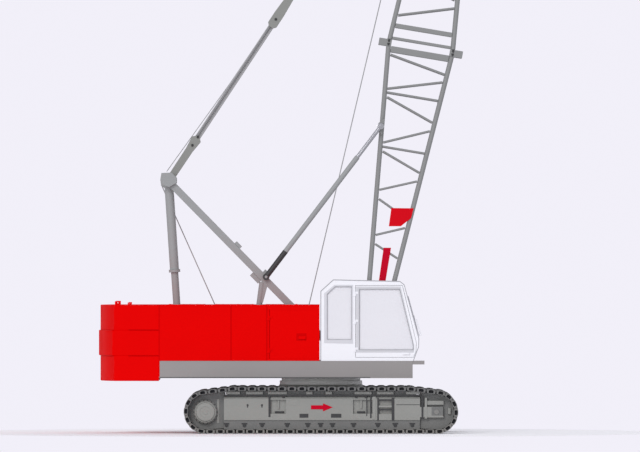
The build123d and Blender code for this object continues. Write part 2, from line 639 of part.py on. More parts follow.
def cab_glass():
    """The fixed panes of the cab: rear quarter, inner side, back and windscreen."""
    low_y, high_y = -CAB_OUTER, -CAB_INNER
    set_in = (CAB_WALL - GLASS) / 2
    panes = [plate(grown(REAR_PANE, -SEAT), low_y + set_in, low_y + set_in + GLASS),
             plate(grown(INNER_PANE, -SEAT), high_y - set_in - GLASS, high_y - set_in)]
    panes.append(block((CAB_REAR + set_in, low_y + 2 * SCREEN_MARGIN + SEAT, REAR_WINDOW[0] + SEAT),
                       (CAB_REAR + set_in + GLASS, high_y - 2 * SCREEN_MARGIN - SEAT, REAR_WINDOW[1] - SEAT)))
    slope = plate(front_slab(set_in, GLASS), low_y + SCREEN_MARGIN + SEAT, high_y - SCREEN_MARGIN - SEAT)
    panes.append(slope & block((ROOF_FRONT, low_y, SCREEN_LOW + SEAT), (CAB_BEAK + 1, high_y, SCREEN_HIGH - SEAT)))
    return panes


def cab_door():
    low_y = -CAB_OUTER
    shape = plate(DOOR_EDGE, low_y, low_y + CAB_WALL)
    shape -= plate(DOOR_PANE, low_y - 1, low_y + CAB_WALL + 1)
    shape += block((1760, low_y - 30, 1700), (1900, low_y + 1, 1740))
    return with_hinges(shape, DOOR_EDGE[0][0] - DOOR_GAP / 2, low_y, CAB_HINGES)


def door_glass():
    set_in = (CAB_WALL - GLASS) / 2 - CAB_OUTER
    return plate(grown(DOOR_PANE, -SEAT), set_in, set_in + GLASS)


def operator_seat():
    """The operator's seat on its plinth, with a head rest."""
    middle = -(CAB_OUTER + CAB_INNER) / 2
    low, high = middle - 230, middle + 230
    floor = DECK_TOP + CAB_WALL
    shape = block((420, low + 60, floor), (860, high - 60, floor + 260))
    shape += plate([(380, floor + 259), (950, floor + 259), (980, floor + 330), (940, floor + 400), (380, floor + 380)], low, high)
    shape += plate([(380, floor + 370), (500, floor + 370), (400, floor + 980), (300, floor + 980)], low, high)
    return shape + plate([(310, floor + 970), (390, floor + 970), (370, floor + 1150), (290, floor + 1150)], low + 90, high - 90)


def control_console():
    """Side boxes with levers and the front pedestal."""
    middle = -(CAB_OUTER + CAB_INNER) / 2
    floor = DECK_TOP + CAB_WALL
    solids = []
    for y in (middle - 340, middle + 240):
        solids.append(plate([(560, floor), (1150, floor), (1190, floor + 560), (560, floor + 520)], y, y + 100))
    solids.append(plate([(1480, floor), (1760, floor), (1700, floor + 620), (1600, floor + 640)], middle - 200, middle + 200))
    return solids


def left_tank():
    """The fuel and hydraulic tank in front of the left house."""
    shape = block((HOUSE_FRONT + 60, HOUSE_INNER, DECK_TOP), (1150, DECK_HALF_WIDTH, 2520))
    return chamfer(shape.edges().filter_by(Axis.X).group_by(Axis.Z)[-1], 60)


def engine():
    return block((-2650, 980, DECK_TOP), (-1150, 1600, 2420))


def front_step():
    return block((DECK_FRONT, -CAB_OUTER + 10, DECK_TOP - 76), (2225, -CAB_INNER - 10, DECK_TOP))


def drum(centre):
    """A winch drum full of rope, on its shaft."""
    half, reach = DRUM_HALF, DRUM_HALF + CLEAR + STAND_PLATE + 12
    rim = [(SHAFT_RADIUS, -reach), (SHAFT_RADIUS, -half), (FLANGE_RADIUS, -half),
           (FLANGE_RADIUS, FLANGE - half), (WOUND_RADIUS, FLANGE - half)]
    return spin(rim + [(r, -y) for r, y in reversed(rim)], centre)


def winch_stands():
    low = DRUM_HALF + CLEAR
    stands = []
    for centre in DRUMS.values():
        shape = ear(centre, DECK_TOP, 240.0, 105.0, -low - STAND_PLATE, -low, SHAFT_RADIUS)
        stands += both(shape)
    return stands


# Gantry and backstops
def side_point(start, end, share):
    return tuple(a + share * (b - a) for a, b in zip(start, end))


def gantry_legs():
    """Front legs with ties, lugs, backstop pins and posts, then the telescopic rear legs."""
    frame = in_line(HEAD, FRONT_LEG_FOOT)
    length = hypot(HEAD[0] - FRONT_LEG_FOOT[0], HEAD[1] - FRONT_LEG_FOOT[1])
    above_deck = block((-6000, -2000, DECK_TOP), (2000, 2000, 9000))
    below_leg = frame * Pos(0, 0, -LEG_DEPTH / 2 - SEAT) * Box(9000, 4000, 9000, align=(Align.CENTER, Align.CENTER, Align.MAX))
    stop = HEAD_PIPE_RADIUS + SEAT
    leg = frame * Pos(stop, -LEG_Y, 0) * Box(length, LEG_WIDTH, LEG_DEPTH, align=(Align.MIN, Align.CENTER, Align.CENTER))
    right = [leg & above_deck]
    for near, far, side, height in LEG_LUGS:
        low = LEG_DEPTH / 2 + SEAT
        z = sorted((side * low, side * (low + height)))
        right.append(frame * block((near, -LEG_Y - 30, z[0]), (far, -LEG_Y + 30, z[1])))
    outer = LEG_Y + LEG_WIDTH / 2 + SEAT
    right.append(disc(STOP_PIVOT, -STOP_Y - STOP_EYE_WIDTH / 2 - 12, -outer, STOP_PIN, sides=WHEEL_SIDES))
    post = bar((POST_FOOT_X, -LEG_Y, DECK_TOP - 50), (POST_TOP[0], -LEG_Y, POST_TOP[1]), POST_RADIUS)
    right.append(post & above_deck & below_leg)
    right += rear_leg()
    solids = [twin for shape in right for twin in both(shape)]
    inner = LEG_Y - LEG_WIDTH / 2 - SEAT
    for share in LEG_TIES:
        solids.append(disc(side_point(FRONT_LEG_FOOT, HEAD, share), -inner, inner, TIE_RADIUS))
    return solids


def rear_leg():
    """The right rear leg: an inner tube from its foot plate, a collar and an outer tube."""
    foot, head = REAR_LEG_FOOT, HEAD
    length = hypot(head[0] - foot[0], head[1] - foot[1])
    collar = length * (COLLAR_Z - foot[1]) / (head[1] - foot[1])
    frame = in_line(foot, head)
    y, half = -REAR_LEG_Y, COLLAR_LENGTH / 2
    footing = block((foot[0] - 110, y - 80, DECK_TOP), (foot[0] + 110, y + 80, DECK_TOP + 60))
    over_footing = block((-6000, -2000, DECK_TOP + 60), (2000, 2000, 9000))
    inner_tube = frame * bar((-100, y, 0), (collar - half - SEAT, y, 0), REAR_LEG_RADIUS)
    ring = frame * bar((collar - half, y, 0), (collar + half, y, 0), COLLAR_RADIUS)
    outer_tube = frame * bar((collar + half + SEAT, y, 0), (length - HEAD_PIPE_RADIUS - SEAT, y, 0), REAR_SLEEVE_RADIUS)
    return [footing, inner_tube & over_footing, ring, outer_tube]


def gantry_head():
    """The head pipe across the top in three lengths, its deflector sheaves and end cheeks."""
    reach, (x, z) = LEG_Y + 70, HEAD
    low, high = DEFLECTOR_Y - 22, DEFLECTOR_Y + 22
    solids = [disc(HEAD, SEAT - low, low - SEAT, HEAD_PIPE_RADIUS)]
    right = [disc(HEAD, -reach, -high - SEAT, HEAD_PIPE_RADIUS, sides=RING_SIDES),
             disc(HEAD, -high, -low, DEFLECTOR_RADIUS)]
    cheek = [(x - 150, z + 175), (x - 175, z + 20), (x - 130, z - 80), (x + 20, z - 130), (x + 175, z - 40),
             (x + 175, z + 70), (x + 70, z + 185)]
    right.append(plate(cheek, -reach - SEAT - 45, -reach - SEAT))
    return solids + [twin for shape in right for twin in both(shape)]


def stop_frame():
    return in_line(STOP_PIVOT, STOP_EYE)


def stop_length():
    return hypot(STOP_EYE[0] - STOP_PIVOT[0], STOP_EYE[1] - STOP_PIVOT[1])


def backstop_buffers():
    """The spring housing at the foot of each backstop, with its eye round the gantry's pin."""
    half = STOP_EYE_WIDTH / 2
    shape = disc((0, 0), -half, half, 72)
    shape += bar((45, 0, 0), (STOP_BUFFER_LENGTH, 0, 0), STOP_RADIUS + 4)
    shape -= hole((0, 0), -STOP_RADIUS - 9, STOP_RADIUS + 9, STOP_PIN)
    return both(stop_frame() * Pos(0, -STOP_Y, 0) * shape)


def backstop_tubes():
    tube = bar((STOP_BUFFER_LENGTH + SEAT, 0, 0), (STOP_TUBE_LENGTH, 0, 0), STOP_RADIUS, STOP_ROD_RADIUS + FIT)
    return both(stop_frame() * Pos(0, -STOP_Y, 0) * tube)


def backstop_rods():
    """The rod of each backstop, ending in an eye beside its lug on the boom."""
    length, half = stop_length(), STOP_EYE_WIDTH / 2
    shape = bar((STOP_BUFFER_LENGTH + CLEAR, 0, 0), (length - 50, 0, 0), STOP_ROD_RADIUS)
    shape += disc((length, 0), -half, half, 70)
    shape += disc((length, 0), -half - STOP_PIN_END, half + STOP_PIN_END, 34)
    return both(stop_frame() * Pos(0, -STOP_Y, 0) * shape)


# Boom, in its own frame: x along it from the foot pin, z to its rear side
def boom_frame():
    slope = radians(BOOM_ANGLE)
    return in_line(BOOM_FOOT, (BOOM_FOOT[0] + cos(slope), BOOM_FOOT[1] + sin(slope)))


def half_depth(along):
    """From the boom's axis to its front and rear chords."""
    if along <= BOOM_JOINT:
        return FOOT_DEPTH + (CHORD_DEPTH - FOOT_DEPTH) * along / BOOM_JOINT
    return CHORD_DEPTH + (TOP_DEPTH - CHORD_DEPTH) * (along - BOOM_JOINT) / (TOP_END - BOOM_JOINT)


def half_width(along):
    """From the boom's axis to its right and left chords."""
    if along <= BOOM_JOINT:
        return CHORD_Y
    return CHORD_Y + (TOP_HALF_WIDTH - CHORD_Y) * (along - BOOM_JOINT) / (TOP_END - BOOM_JOINT)


def chord_point(along, side, face):
    """A point on a chord's axis: side is -1 for right and 1 for left, face -1 for front and 1 for rear."""
    return (along, side * half_width(along), face * half_depth(along))


def chord_run(chord, along):
    """The direction of a chord near a distance along the boom."""
    return (Vector(*chord_point(along + 0.1, *chord)) - Vector(*chord_point(along - 0.1, *chord))).normalized()


def lacing(here, first, there, second):
    """A lacing tube between two chords, each given as (side, face), cut square just clear of both."""
    start, end = Vector(*chord_point(here, *first)), Vector(*chord_point(there, *second))
    unit = (end - start).normalized()
    cuts = []
    for chord, along in ((first, here), (second, there)):
        slope = abs(unit.dot(chord_run(chord, along)))
        cuts.append((CHORD_RADIUS + SEAT + LACING_RADIUS * slope) / (1 - slope ** 2) ** 0.5)
    return bar(start + unit * cuts[0], end - unit * cuts[1], LACING_RADIUS, sides=THIN_SIDES)


def zigzag(stations, first, second):
    """Lacing back and forth between two chords at the stations in turn."""
    ends = (first, second)
    bars = []
    for i, (here, there) in enumerate(zip(stations, stations[1:])):
        step = LACING_GAP if there > here else -LACING_GAP
        bars.append(lacing(here + step, ends[i % 2], there - step, ends[(i + 1) % 2]))
    return bars


# Where the lacing of each section meets the chords, from foot to head
BASE_SIDE = (6475.0, 6075.0, 5571.0, 5001.0, 4402.0, 3886.0, 3382.0, 2851.0, 2407.0, 1983.0)
BASE_FACE = (6300.0, 5500.0, 4700.0, 3900.0, 3100.0, 2300.0, 1500.0)
BASE_STRUTS = (5576.0, 4408.0)
TOP_SIDE = (7170.0, 7690.0, 8210.0, 8730.0, 9240.0, 9740.0, 10230.0, 10700.0, 11150.0, 11590.0, 12010.0,
            12410.0, 12790.0)
TOP_FACE = (7300.0, 8000.0, 8700.0, 9400.0, 10050.0, 10650.0, 11200.0, 11700.0, 12200.0, 12680.0)
BASE_FRAMES = ((6512.0, 130.0),)                   # along the boom, depth
TOP_FRAMES = ((6755.0, 55.0), (7030.0, 90.0))


CHORD_LEAN = 1.005               # a leaning chord's breadth across the boom, over its own


def section_lacing(side_stations, face_stations, struts=()):
    bars = []
    for side in (-1, 1):
        bars += zigzag(side_stations, (side, 1), (side, -1))
        bars += [lacing(x, (side, 1), x, (side, -1)) for x in struts]
    for face in (-1, 1):
        bars += zigzag(face_stations, (-1, face), (1, face))
    return bars


def chords(low, high):
    """The four chords of a section between two flat faces across the boom."""
    lean = chord_run((1, 1), (low + high) / 2).X
    gap = SEAT + CHORD_RADIUS * (1 / lean ** 2 - 1) ** 0.5
    return [bar(chord_point(low + gap, side, face), chord_point(high - gap, side, face), CHORD_RADIUS)
            for side in (-1, 1) for face in (-1, 1)]


def end_frames(rows):
    """Square rings of box beams that tie the four chords together at a section's end."""
    beams = []
    for along, depth in rows:
        deep, wide = half_depth(along), half_width(along)
        lean_z = abs(half_depth(along + 1) - deep) * depth / 2
        lean_y = abs(half_width(along + 1) - wide) * depth / 2
        near = CHORD_RADIUS * CHORD_LEAN + SEAT
        for side in (-1, 1):
            beams.append(Pos(along, side * wide, 0) * Box(depth, 60, 2 * (deep - near - lean_z)))
            beams.append(Pos(along, 0, side * deep) * Box(depth, 2 * (wide - near - lean_y), 60))
    return beams


def boom_feet():
    """The plates at the foot of the boom that gather the chords into an eye for the foot pin."""
    half, length = FOOT_WIDTH / 2, FOOT_PLATE_LENGTH
    deep = half_depth(length) + CHORD_RADIUS
    outline = [(length, -deep), (length, deep)] + arc((0, 0), FOOT_EYE, 90, 270, 8)
    feet = []
    for side in (-1, 1):
        low = side * CHORD_Y - half
        feet.append(plate(outline, low, low + FOOT_WIDTH) - hole((0, 0), low - 1, low + FOOT_WIDTH + 1, FOOT_PIN))
    return feet


def joint_blocks():
    """The pinned lugs that join the two sections, standing proud of the front and rear chords."""
    solids = []
    for side in (-1, 1):
        for face in (-1, 1):
            z = sorted((face * (CHORD_DEPTH - 60), face * (CHORD_DEPTH + 215)))
            low = (BOOM_JOINT - 75, side * CHORD_Y - 45, z[0])
            solids.append(block(low, (BOOM_JOINT + 75, side * CHORD_Y + 45, z[1])))
    return solids


def backstop_lugs():
    """Lug plates on the rear chords, beside the eyes of the backstop rods."""
    slope = radians(BOOM_ANGLE)
    x, z = STOP_EYE[0] - BOOM_FOOT[0], STOP_EYE[1] - BOOM_FOOT[1]
    along, above = x * cos(slope) + z * sin(slope), z * cos(slope) - x * sin(slope)
    chord = half_depth(along)
    high = STOP_Y - STOP_EYE_WIDTH / 2 - STOP_PIN_END - CLEAR
    outline = [(along - 190, chord - 30), (along + 190, chord - 30), (along + 60, above + 60), (along - 60, above + 60)]
    low = CHORD_Y + CHORD_RADIUS + SEAT
    return both(plate(outline, -high, -low))


def marker_board():
    """The red board on the right side of the base section, against the front chord."""
    outline = [(2733, 45), (2776, -210), (2985, -400), (3204, -418), (3130, 57)]
    low = -CHORD_Y - CHORD_RADIUS - SEAT - MARKER_PLATE
    return plate(outline, low, low + MARKER_PLATE)


def marker_strip():
    """The red strip on the right side of the base section, against its lacing."""
    low = -CHORD_Y - LACING_RADIUS - SEAT - MARKER_PLATE
    return plate([(1500, 62), (1500, -82), (2285, -79), (2259, 79)], low, low + MARKER_PLATE)


def boom_head():
    """Two head plates that carry the sheaves, the pipes between them and the pendant pin across."""
    outline = [(TOP_END + SEAT, -TOP_DEPTH - 50), (TOP_END + 380, -SHEAVE_BELOW - 110), (SHEAVE_ALONG + 90, -SHEAVE_BELOW - 110),
               (SHEAVE_ALONG + 150, -SHEAVE_BELOW + 60), (SHEAVE_ALONG - 40, 200), (GUIDE_ALONG + 110, GUIDE_ABOVE + 60),
               (GUIDE_ALONG - 60, GUIDE_ABOVE + 60), (TOP_END + SEAT, TOP_DEPTH + 50)]
    inner, pin = HEAD_PLATE_Y, PENDANT_Y - 35 - CLEAR
    cheek = plate(outline, -inner - HEAD_PLATE, -inner)
    cheek -= hole((PENDANT_ALONG, PENDANT_ABOVE), -inner - HEAD_PLATE - 1, 1 - inner, PENDANT_PIN)
    solids = both(cheek) + [disc((PENDANT_ALONG, PENDANT_ABOVE), -pin, pin, PENDANT_PIN)]
    for x, z, radius in ((TOP_END + 120, 120, 50), (TOP_END + 120, -130, 50), (SHEAVE_ALONG, -SHEAVE_BELOW, SHEAVE_AXLE),
                         (GUIDE_ALONG, GUIDE_ABOVE, GUIDE_AXLE)):
        solids.append(disc((x, z), SEAT - inner, inner - SEAT, radius, sides=WHEEL_SIDES))
    return solids


def sheave(radius, width, axle):
    """A rope sheave: a hub and a dished web inside a grooved rim."""
    half = width / 2
    rim = [(axle + 45, -half), (axle + 60, -half / 3), (radius - 50, -half / 3), (radius - 42, -half), (radius, -half)]
    shape = spin(rim + [(radius - GROOVE, 0)] + [(r, -y) for r, y in reversed(rim)], sides=SIDES)
    return shape - hole((0, 0), -half - 1, half + 1, axle)


def head_sheaves():
    """The four hoist sheaves at the boom's tip, in the crane's frame."""
    x, z = sheave_spot()
    shape = sheave(SHEAVE_RADIUS, SHEAVE_WIDTH, SHEAVE_AXLE)
    return [Pos(x, y, z) * shape for y in SHEAVE_YS]


def guide_sheaves():
    shape = sheave(GUIDE_RADIUS, SHEAVE_WIDTH, GUIDE_AXLE)
    return [Pos(GUIDE_ALONG, y, GUIDE_ABOVE) * shape for y in (-110.0, 110.0)]


def boom_spot(along, above):
    """A point of the boom's frame in side view, at rest."""
    slope = radians(BOOM_ANGLE)
    return (BOOM_FOOT[0] + along * cos(slope) - above * sin(slope), BOOM_FOOT[1] + along * sin(slope) + above * cos(slope))


# Stays, in the frame of the line from the gantry head to the pendant pin
def stay_frame():
    return in_line(HEAD, boom_spot(PENDANT_ALONG, PENDANT_ABOVE))


def stay_length():
    tip = boom_spot(PENDANT_ALONG, PENDANT_ABOVE)
    return hypot(tip[0] - HEAD[0], tip[1] - HEAD[1])


def luffing_links():
    """Links from the gantry head to the lower sheave block."""
    far, eye = BLOCK_SHEAVES - 120, 120.0
    outline = arc((0, 0), eye, 39, 321, 10)
    outline += [(far, -80), (BLOCK_TIP - 60, -110), (BLOCK_TIP, -50), (BLOCK_TIP, 50), (BLOCK_TIP - 60, 110), (far, 80)]
    links = []
    for y in LINK_YS:
        link = plate(outline, y - LINK_HALF, y + LINK_HALF) - hole((0, 0), y - 20, y + 20, HEAD_PIPE_RADIUS)
        links.append(stay_frame() * (link - hole((BLOCK_SHEAVES, 0), y - 20, y + 20, BLOCK_AXLE)))
    return links


def rope_sheaves(along, gaps):
    """Grooved rolls and plain axle lengths on one line across the stays."""
    half = BLOCK_SHEAVE_WIDTH / 2
    groove = FALL_OFFSET - FALL_RADIUS - SEAT
    solids = []
    for y in FALL_YS:
        rim = [(groove + 22, y - half), (groove, y - 12), (groove, y + 12), (groove + 22, y + half)]
        solids.append(stay_frame() * spin(rim, (along, 0), SIDES))
    edges = [-gaps] + [y + side * (half + SEAT) for y in FALL_YS for side in (-1, 1)] + [gaps]
    for low, high in zip(edges[::2], edges[1::2]):
        solids.append(stay_frame() * disc((along, 0), low, high, BLOCK_AXLE, sides=THIN_SIDES))
    return solids


def luffing_falls():
    """The parts of luffing rope between the two sheave blocks."""
    low, high = BLOCK_SHEAVES, BRIDLE_SHEAVES
    frame = stay_frame()
    ropes = []
    for y in FALL_YS:
        for above in (-FALL_OFFSET, FALL_OFFSET):
            ropes.append(frame * bar((low, y, above), (high, y, above), FALL_RADIUS, sides=THIN_SIDES))
    return ropes


def bridle():
    """The upper sheave block's cheeks and its cross bar for the pendants."""
    reach = PENDANT_Y + 50
    outline = [(BRIDLE_NEAR, -50), (BRIDLE_NEAR + 60, -105), (BRIDLE_SHEAVES + 150, -105), (BRIDLE_BAR, -70),
               (BRIDLE_BAR + 75, 0), (BRIDLE_BAR, 70), (BRIDLE_SHEAVES + 150, 105), (BRIDLE_NEAR + 60, 105),
               (BRIDLE_NEAR, 50)]
    solids = [disc((BRIDLE_BAR, 0), -reach, reach, BRIDLE_PIN)]
    for y in LINK_YS:
        cheek = plate(outline, y - LINK_HALF, y + LINK_HALF)
        for x, radius in ((BRIDLE_SHEAVES, BLOCK_AXLE), (BRIDLE_BAR, BRIDLE_PIN)):
            cheek -= hole((x, 0), y - 20, y + 20, radius)
        solids.append(cheek)
    return [stay_frame() * solid for solid in solids]


def pendants():
    """The two pendant stays, each with a socket and an eye at both ends."""
    end = stay_length()
    stays = []
    for y in (-PENDANT_Y, PENDANT_Y):
        shape = bar((BRIDLE_BAR + 60, y, 0), (end - 60, y, 0), PENDANT_RADIUS, sides=THIN_SIDES)
        eye = disc((0, 0), y - 35, y + 35, 72)
        shape += Pos(BRIDLE_BAR, 0, 0) * eye + Pos(end, 0, 0) * eye
        for x, away in ((BRIDLE_BAR, 1), (end, -1)):
            shape += block((min(x + away * 60, x + away * 260), y - 28, -38), (max(x + away * 60, x + away * 260), y + 28, 38))
        stays.append(stay_frame() * (shape - hole((BRIDLE_BAR, 0), y - 40, y + 40, BRIDLE_PIN)))
    return stays


# Hook block
def sheave_spot():
    return boom_spot(SHEAVE_ALONG, -SHEAVE_BELOW)


def hoist_falls():
    """The parts of hoist rope between the head sheaves and the hook block's."""
    x, z = sheave_spot()
    ropes = []
    for y in SHEAVE_YS[1:3]:
        for across in (-HOIST_FALL_OUT, HOIST_FALL_OUT):
            ropes.append(bar((x + across, y, BLOCK_SHEAVE_Z), (x + across, y, z), HOIST_FALL_RADIUS, sides=THIN_SIDES))
    return ropes


def hook_block():
    """Two cheek plates round the block's sheaves, with the cross head that carries the hook."""
    x = sheave_spot()[0]
    low, wide, centre = BLOCK_TOP_Z - BLOCK_HEIGHT, BLOCK_HALF_DEPTH, BLOCK_SHEAVE_Z
    outline = [(x - 130, low), (x + 130, low), (x + wide, centre - 120), (x + wide, centre + 120), (x + 150, BLOCK_TOP_Z),
               (x - 150, BLOCK_TOP_Z), (x - wide, centre + 120), (x - wide, centre - 120)]
    shape = plate(outline, -110 - CHEEK_PLATE, -110) + plate(outline, 110, 110 + CHEEK_PLATE)
    shape += disc((x, centre), -111, 111, HOOK_AXLE, sides=WHEEL_SIDES)
    shape += block((x - 110, -111, low + 20), (x + 110, 111, CROSS_HEAD_Z))
    return shape - bar((x, 0, low), (x, 0, CROSS_HEAD_Z + 1), HOOK_SHANK + 1)


def block_rope_sheaves():
    x = sheave_spot()[0]
    shape = sheave(SHEAVE_RADIUS, SHEAVE_WIDTH, HOOK_AXLE)
    return [Pos(x, y, BLOCK_SHEAVE_Z) * shape for y in SHEAVE_YS[1:3]]


def hook():
    """A forged single hook: a round shank with a nut, and a bowl with its tip turned up."""
    x = sheave_spot()[0]
    low = BLOCK_TOP_Z - BLOCK_HEIGHT
    shank = bar((x, 0, low - 260), (x, 0, CROSS_HEAD_Z + 45), HOOK_SHANK)
    shank += bar((x, 0, CROSS_HEAD_Z + SEAT), (x, 0, CROSS_HEAD_Z + 45), HOOK_SHANK + 35)
    seat, thick = HOOK_SEAT_RADIUS, HOOK_THICKNESS
    centre = low - 260 - seat - thick
    outer = seat + thick
    eye = hole((x + HOOK_OFFSET, centre + HOOK_OFFSET), -thick, thick, seat, WHEEL_SIDES)
    bowl = disc((x, centre), -thick / 2, thick / 2, outer, sides=WHEEL_SIDES)
    mouth = plate([(x - 400, centre + 30), (x, centre), (x - 40, centre + 400), (x - 400, centre + 400)], -thick, thick)
    neck = plate([(x - 62, low - 250), (x + 62, low - 250), (x + outer - 5, centre + 40), (x + seat, centre + 10),
                  (x + 20, centre + seat + 20), (x - 40, centre + seat + 60)], -thick / 2, thick / 2)
    return shank + (bowl - mouth - eye) + (neck - eye)


def place_tracks(make):
    """The same pieces inside the right and the left track; make takes the outward side."""
    pieces = []
    for side in (-1, 1):
        made = make(side)
        pieces += [Pos(0, side * TRACK_GAUGE / 2, 0) * shape for shape in (made if isinstance(made, list) else [made])]
    return pieces


def handed_sprocket(side):
    return sprocket() if side > 0 else mirror(sprocket(), about=Plane.XZ)


def crane():
    """Every node of the crane and its solids, in the frame of the slewing axis."""
    boom = boom_frame()
    on_boom = lambda solids: [boom * s for s in (solids if isinstance(solids, list) else [solids])]
    flip = lambda solids: [mirror(s, about=Plane.XZ) for s in (solids if isinstance(solids, list) else [solids])]
    line = track()
    nodes = {
        "track_right": Pos(0, -TRACK_GAUGE / 2, 0) * line,
        "track_left": Pos(0, TRACK_GAUGE / 2, 0) * line,
        "sprockets": place_tracks(handed_sprocket),
        "idlers": place_tracks(lambda side: idler()),
        "track_rollers": place_tracks(lambda side: bottom_rollers() + carrier_rollers()),
        "track_frames": place_tracks(lambda side: [track_frame(side), travel_motor(side)]),
        "carbody": carbody(),
        "slewing_ring": bar((0, 0, CARBODY_TOP), (0, 0, RING_TOP), RING_RADIUS, RING_BORE, RING_SIDES),
        "slewing_race": bar((0, 0, RING_TOP + SEAT), (0, 0, DECK_LOW), UPPER_RING_RADIUS, RING_BORE, RING_SIDES),
        "revolving_frame": [revolving_frame(), front_step()] + boom_foot_pins(),
        "side_decks": both(side_deck()),
        "counterweight": [slab(0), slab(1), slab(2)] + counterweight_lugs(),
        "house_right": house(),
        "house_left": flip(house()),
        "house_door_right": house_door(),
        "house_door_left": flip(house_door()),
        "engine": engine(),
        "left_tank": left_tank(),
        "cab_shell": cab_shell() + frame_hinges(DOOR_EDGE[0][0] - DOOR_GAP / 2, -CAB_OUTER, CAB_HINGES),
        "cab_glass": cab_glass(),
        "cab_door": cab_door(),
        "door_glass": door_glass(),
        "cab_fittings": [operator_seat()] + control_console(),
        "winch_stands": winch_stands(),
        "gantry_legs": gantry_legs(),
        "gantry_head": gantry_head(),
        "backstop_buffers": backstop_buffers(),
        "backstop_tubes": backstop_tubes(),
        "backstop_rods": backstop_rods(),
        "boom_base_section": on_boom(boom_feet() + chords(FOOT_PLATE_LENGTH, BOOM_JOINT - 75) + end_frames(BASE_FRAMES)),
        "boom_base_lacing": on_boom(section_lacing(BASE_SIDE, BASE_FACE, BASE_STRUTS)),
        "boom_lugs": on_boom(joint_blocks() + backstop_lugs()),
        "boom_top_section": on_boom(chords(BOOM_JOINT + 75, TOP_END) + end_frames(TOP_FRAMES)),
        "boom_top_lacing": on_boom(section_lacing(TOP_SIDE, TOP_FACE)),
        "marker_plates": on_boom([marker_board(), marker_strip()]),
        "boom_head": on_boom(boom_head() + guide_sheaves()),
        "head_sheaves": head_sheaves(),
        "luffing_links": luffing_links(),
        "luffing_sheaves": rope_sheaves(BLOCK_SHEAVES, LINK_YS[-1] + LINK_HALF + 8),
        "luffing_falls": luffing_falls(),
        "bridle": bridle(),
        "bridle_sheaves": rope_sheaves(BRIDLE_SHEAVES, LINK_YS[-1] + LINK_HALF + 8),
        "pendants": pendants(),
        "hoist_falls": hoist_falls(),
        "hook_block": [hook_block()] + block_rope_sheaves(),
        "hook": hook(),
    }
    for name, centre in DRUMS.items():
        nodes[name] = drum(centre)
    return {name: shape if isinstance(shape, list) else [shape] for name, shape in nodes.items()}


def middle_x(nodes):
    """The middle of the whole crane along X, in the frame of the slewing axis."""
    boxes = [shape.bounding_box() for solids in nodes.values() for shape in solids]
    return (min(b.min.X for b in boxes) + max(b.max.X for b in boxes)) / 2


NODES = crane()
SLEW_X = -middle_x(NODES)

if __name__ == "__main__":
    os.makedirs("parts", exist_ok=True)
    for name, solids in NODES.items():
        moved = [solid for shape in solids for solid in (Pos(SLEW_X, 0, 0) * shape).solids()]
        export_step(Compound(moved), f"parts/{name}.step")
    print("slewing axis at x =", round(SLEW_X, 3))
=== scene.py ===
# %% [markdown]
# # A crawler crane, dressed for the studio
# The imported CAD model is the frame: every steel part already stands where it belongs.
# This notebook gives each part its finish and adds what a CAD file leaves out: shoes on
# the tracks, ropes on the drums, seals, bolts, handles and pins. The crane faces +X and
# its right side, with the cab, looks to -Y.

# %% Load the frame
import json

import bmesh
import bpy
from math import asin, atan2, cos, exp, hypot, pi, radians, sin
from mathutils import Matrix, Vector


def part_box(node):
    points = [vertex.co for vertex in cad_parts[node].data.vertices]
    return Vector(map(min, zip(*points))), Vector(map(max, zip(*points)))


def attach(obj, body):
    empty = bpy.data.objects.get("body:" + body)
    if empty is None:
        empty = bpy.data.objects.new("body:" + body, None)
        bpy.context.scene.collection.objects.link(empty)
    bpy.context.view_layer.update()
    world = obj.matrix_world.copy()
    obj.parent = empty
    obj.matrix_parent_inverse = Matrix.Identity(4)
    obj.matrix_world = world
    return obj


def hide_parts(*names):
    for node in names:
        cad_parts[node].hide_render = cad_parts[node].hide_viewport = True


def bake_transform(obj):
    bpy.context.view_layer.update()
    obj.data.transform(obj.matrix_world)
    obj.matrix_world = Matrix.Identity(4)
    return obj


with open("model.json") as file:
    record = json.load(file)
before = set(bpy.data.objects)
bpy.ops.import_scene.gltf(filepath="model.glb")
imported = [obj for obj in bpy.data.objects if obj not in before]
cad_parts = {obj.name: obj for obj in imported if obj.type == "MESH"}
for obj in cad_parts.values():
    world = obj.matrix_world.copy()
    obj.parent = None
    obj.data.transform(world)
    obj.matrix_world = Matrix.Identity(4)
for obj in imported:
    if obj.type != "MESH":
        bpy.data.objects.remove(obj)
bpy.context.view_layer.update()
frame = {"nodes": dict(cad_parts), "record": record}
nodes = frame["nodes"]

# %% [markdown]
# The part's source measures from the slewing axis, in millimetres, while the frame's
# origin lies under the middle of the crane. One small function turns the drawing's
# numbers into the frame's metres, so that every piece below can be read off the drawing.

# %% From the drawing to the frame
ring_low, ring_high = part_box("slewing_ring")
SLEW_X = (ring_low.x + ring_high.x) / 2


def at(x, y, z):
    """A point in millimetres from the slewing axis, as a point of the frame."""
    return Vector((SLEW_X + x / 1000, y / 1000, z / 1000))


print("slewing axis at x =", round(SLEW_X, 4))

# %% [markdown]
# ## Camera
# The picture is a side elevation drawn without perspective. A very long lens far away
# flattens depth in the same way, and unlike an orthographic camera it also frames every
# other view correctly.

# %% Camera
PIXEL = 21.5              # millimetres on the crane
PICTURE_WIDTH = 640       # pixels
LENS, SENSOR = 1000.0, 36.0
scene = bpy.context.scene


def add_object(name, data):
    """A new object in the scene that shows some data."""
    made = bpy.data.objects.new(name, data)
    scene.collection.objects.link(made)
    return made


